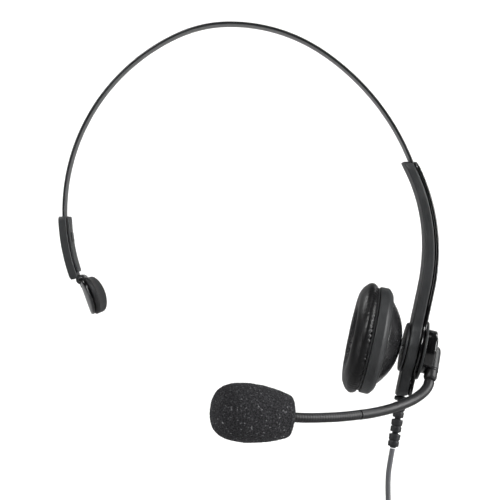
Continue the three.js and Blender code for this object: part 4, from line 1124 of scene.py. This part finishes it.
def make_holder():
    inner, outer = 85.7, 89.3
    strip = SIDE_RADIUS[-1] + BAND_THICKNESS / 2 + SLIDE_GAP
    holder = made_of("temple_holder_moulding", temple_bar(inner, outer, HOLDER_TOP, HOLDER_FOOT, 8, 0.55),
                     shell_abs)
    carve(holder, [temple_bar(inner - 1, strip, HOLDER_TOP - 2, HOLDER_TOP + 3, 6.5),
                   temple_bar(inner - 1, outer - 0.7, HOLDER_TOP + 1.8, HOLDER_FOOT - 2.2, 6.5)])
    carve(holder, [barrel(7.6, 2.1)], "UNION")
    carve(holder, [barrel(5.7, 2.7), barrel(9, 1.1)])
    cover = made_of("temple_inner_cover", temple_bar(84.5, 85.4, HOLDER_TOP, HOLDER_FOOT - 1.6, 7.7, 0.3),
                    shell_abs)
    carve(cover, [temple_bar(84.0, 84.8, 6.4, 9.4, 4, 0.25)], "UNION")
    for piece, node in ((holder, "temple_holder"), (cover, "temple_cover")):
        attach(piece, "temple_slider")
        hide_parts(node)


make_holder()


# ---------------------------------------------------------------- temple pad
# A polished ABS shell, oval and bent to the head, that tilts on its pin, and the soft pad stuck in
# it. The pad is moulded rubber foam with a soft skin, rounded along its edge.
PAD = Matrix.Translation(PAD_PIVOT) @ Matrix.Rotation(math.radians(-20), 4, "Y")
PAD_BEND = 55.0
PAD_DROP = -8.4
PIN_RADIUS = 1.1
PAD_KNUCKLE = 2.2
KNUCKLE_ROOM = 2.5


def pad_rings(length, height, start, drop, profile):
    """Rings of a bent oval. The profile is a list of (distance in from the edge, depth from the back)."""
    rings, half_turn = [], 24
    centre = start + PAD_BEND
    for inset, depth in profile:
        end = height / 2 - inset
        straight = (length - height) / 2
        ring = []
        for sign, first in ((1, -90), (-1, 90)):
            for step in range(half_turn + 1):
                turn = math.radians(first + 180 * step / half_turn)
                y = sign * straight + end * math.cos(turn)
                ring.append((y, end * math.sin(turn)))
            ring += [(sign * straight * (1 - 2 * k / 12), sign * end) for k in range(1, 12)]
        reach = PAD_BEND - depth
        rings.append([Vector((centre - math.sqrt(reach ** 2 - y * y), y, z + drop)) for y, z in ring])
    return rings


def make_pad():
    back = [(8.1, 0), (6, 0), (3, 0), (1.2, 0.02), (0.5, 0.12), (0.12, 0.4), (0, 0.75), (0.12, 1.1),
            (0.5, 1.4), (1.2, 1.5), (3, 1.5), (6, 1.5), (8.1, 1.5)]
    shell = made_of("temple_pad_shell", pad_rings(39, 16.0, -1.3, PAD_DROP, back), gloss_abs, place=PAD)
    web = [[PAD @ Vector((x, y, z)) for x, z in ((-1.25, -3.4), (0.15, -3.4), (0.15, -0.4), (-1.25, -0.4))]
           for y in (-5.4, 5.4)]
    carve(shell, [barrel(7.9, KNUCKLE_ROOM)])
    carve(shell, [web, barrel(5.4, PAD_KNUCKLE)], "UNION")
    carve(shell, [barrel(9, PIN_RADIUS)])
    soft = [(8.8, 0), (6, 0), (3, 0), (1.0, 0), (0.4, 0.1), (0.1, 0.4), (0, 0.9), (0.08, 1.4), (0.35, 1.9),
            (0.9, 2.25), (1.9, 2.45), (3.6, 2.56), (6.4, 2.6), (8.8, 2.6)]
    cushion = made_of("temple_soft_pad", pad_rings(39.4, 17.0, 0.5, PAD_DROP, soft), soft_pad_skin,
                      place=PAD, sharp=80)
    carve(cushion, [barrel(7.9, KNUCKLE_ROOM)])
    for piece, node, slot in ((shell, "pad_shell", "gloss_black"), (cushion, "pad_cushion", "rubber_black")):
        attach(piece, "temple_pad")
        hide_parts(node)


soft_pad_skin = textured_abs("soft_pad_rubber", "#0f0f10", "#1a1a1b", 0.5, 0.5, 0.03)
make_pad()


# ---------------------------------------------------------------- cable tie and plug
# A rubber band holds the coil. The 3.5 mm plug has a grooved rubber boot, a moulded body and a
# nickel-plated shank with two black insulating rings, and hangs from the cable's end.
PLUG = Matrix.Translation((70.8, 0, -270.3)) @ Matrix.Rotation(math.radians(90), 4, "Y")


def make_tie():
    centre = COIL_CENTRE / MM + Vector((-COIL_RADIUS / MM, 0, 0))
    bands = []
    for out, half in ((0.0, 2.0), (0.7, 2.0), (0.7, -2.0), (0.0, -2.0)):
        section = soft_box(10.4 + 2 * out, 9.2 + 2 * out, 4.1 + out, 8)
        bands.append([centre + Vector((x, y, half)) for x, y in section])
    tie = made_of("coil_rubber_band", bands, soft_rubber, closed=True)
    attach(tie, "arm")
    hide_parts("cable_tie")
    return tie


def make_plug():
    boot = [(0, 1.25), (0, 1.9, 0.3)]
    for ridge in range(3):
        x, r = 1.6 + 2.4 * ridge, 1.9 + (ridge + 1) / 3
        boot += [(x, r, 0.15), (x + 0.3, r - 0.5, 0.1), (x + 0.9, r - 0.5, 0.1), (x + 1.2, r, 0.15)]
    boot += [(9, 2.9, 0.2), (9, 0.3)]
    body = [(9.3, 0.3), (9.3, 3.4, 0.1), (10.1, 4.2, 0.5), (23.1, 4.2, 0.5), (24.3, 3.3, 0.3), (24.3, 0.3)]
    start, r = 24.6, 1.75
    tip = start + 14
    shank = [(start, 0.3), (start, 3.1, 0.1), (start + 1, 3.1, 0.1), (start + 1, r, 0.1)]
    for x in (tip - 7.4, tip - 4.6):
        shank += [(x, r, 0.05), (x, r - 0.12, 0.05), (x + 0.6, r - 0.12, 0.05), (x + 0.6, r, 0.05)]
    shank += [(tip - 3.0, r - 0.45, 0.4), (tip - 1.6, r, 0.5), (tip - 0.1, 0.5, 0.2), (tip, 0.2)]
    boot = add_turned("plug_rubber_boot", boot, soft_rubber, "plug_boot", "arm", PLUG, 48)
    body = add_turned("plug_moulded_body", body, shell_abs, "plug_body", "arm", PLUG, 64, 0.2)
    shank = add_turned("plug_nickel_shank", shank, bright_steel, "plug_shank", "arm", PLUG,
                       64, 0.1)
    parts = [boot, body, shank]
    for index, x in enumerate((tip - 7.4, tip - 4.6)):
        band = [(x + 0.03, r - 0.1), (x + 0.03, r - 0.01, 0.03), (x + 0.57, r - 0.01, 0.03),
                (x + 0.57, r - 0.1)]
        ring = turned_piece(f"plug_insulator_{index + 1}", band, gloss_abs, PLUG, 48, 0.03, loop=True)
        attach(ring, "arm")
        parts.append(ring)
    return parts


coil_tie = make_tie()
plug_parts = make_plug()
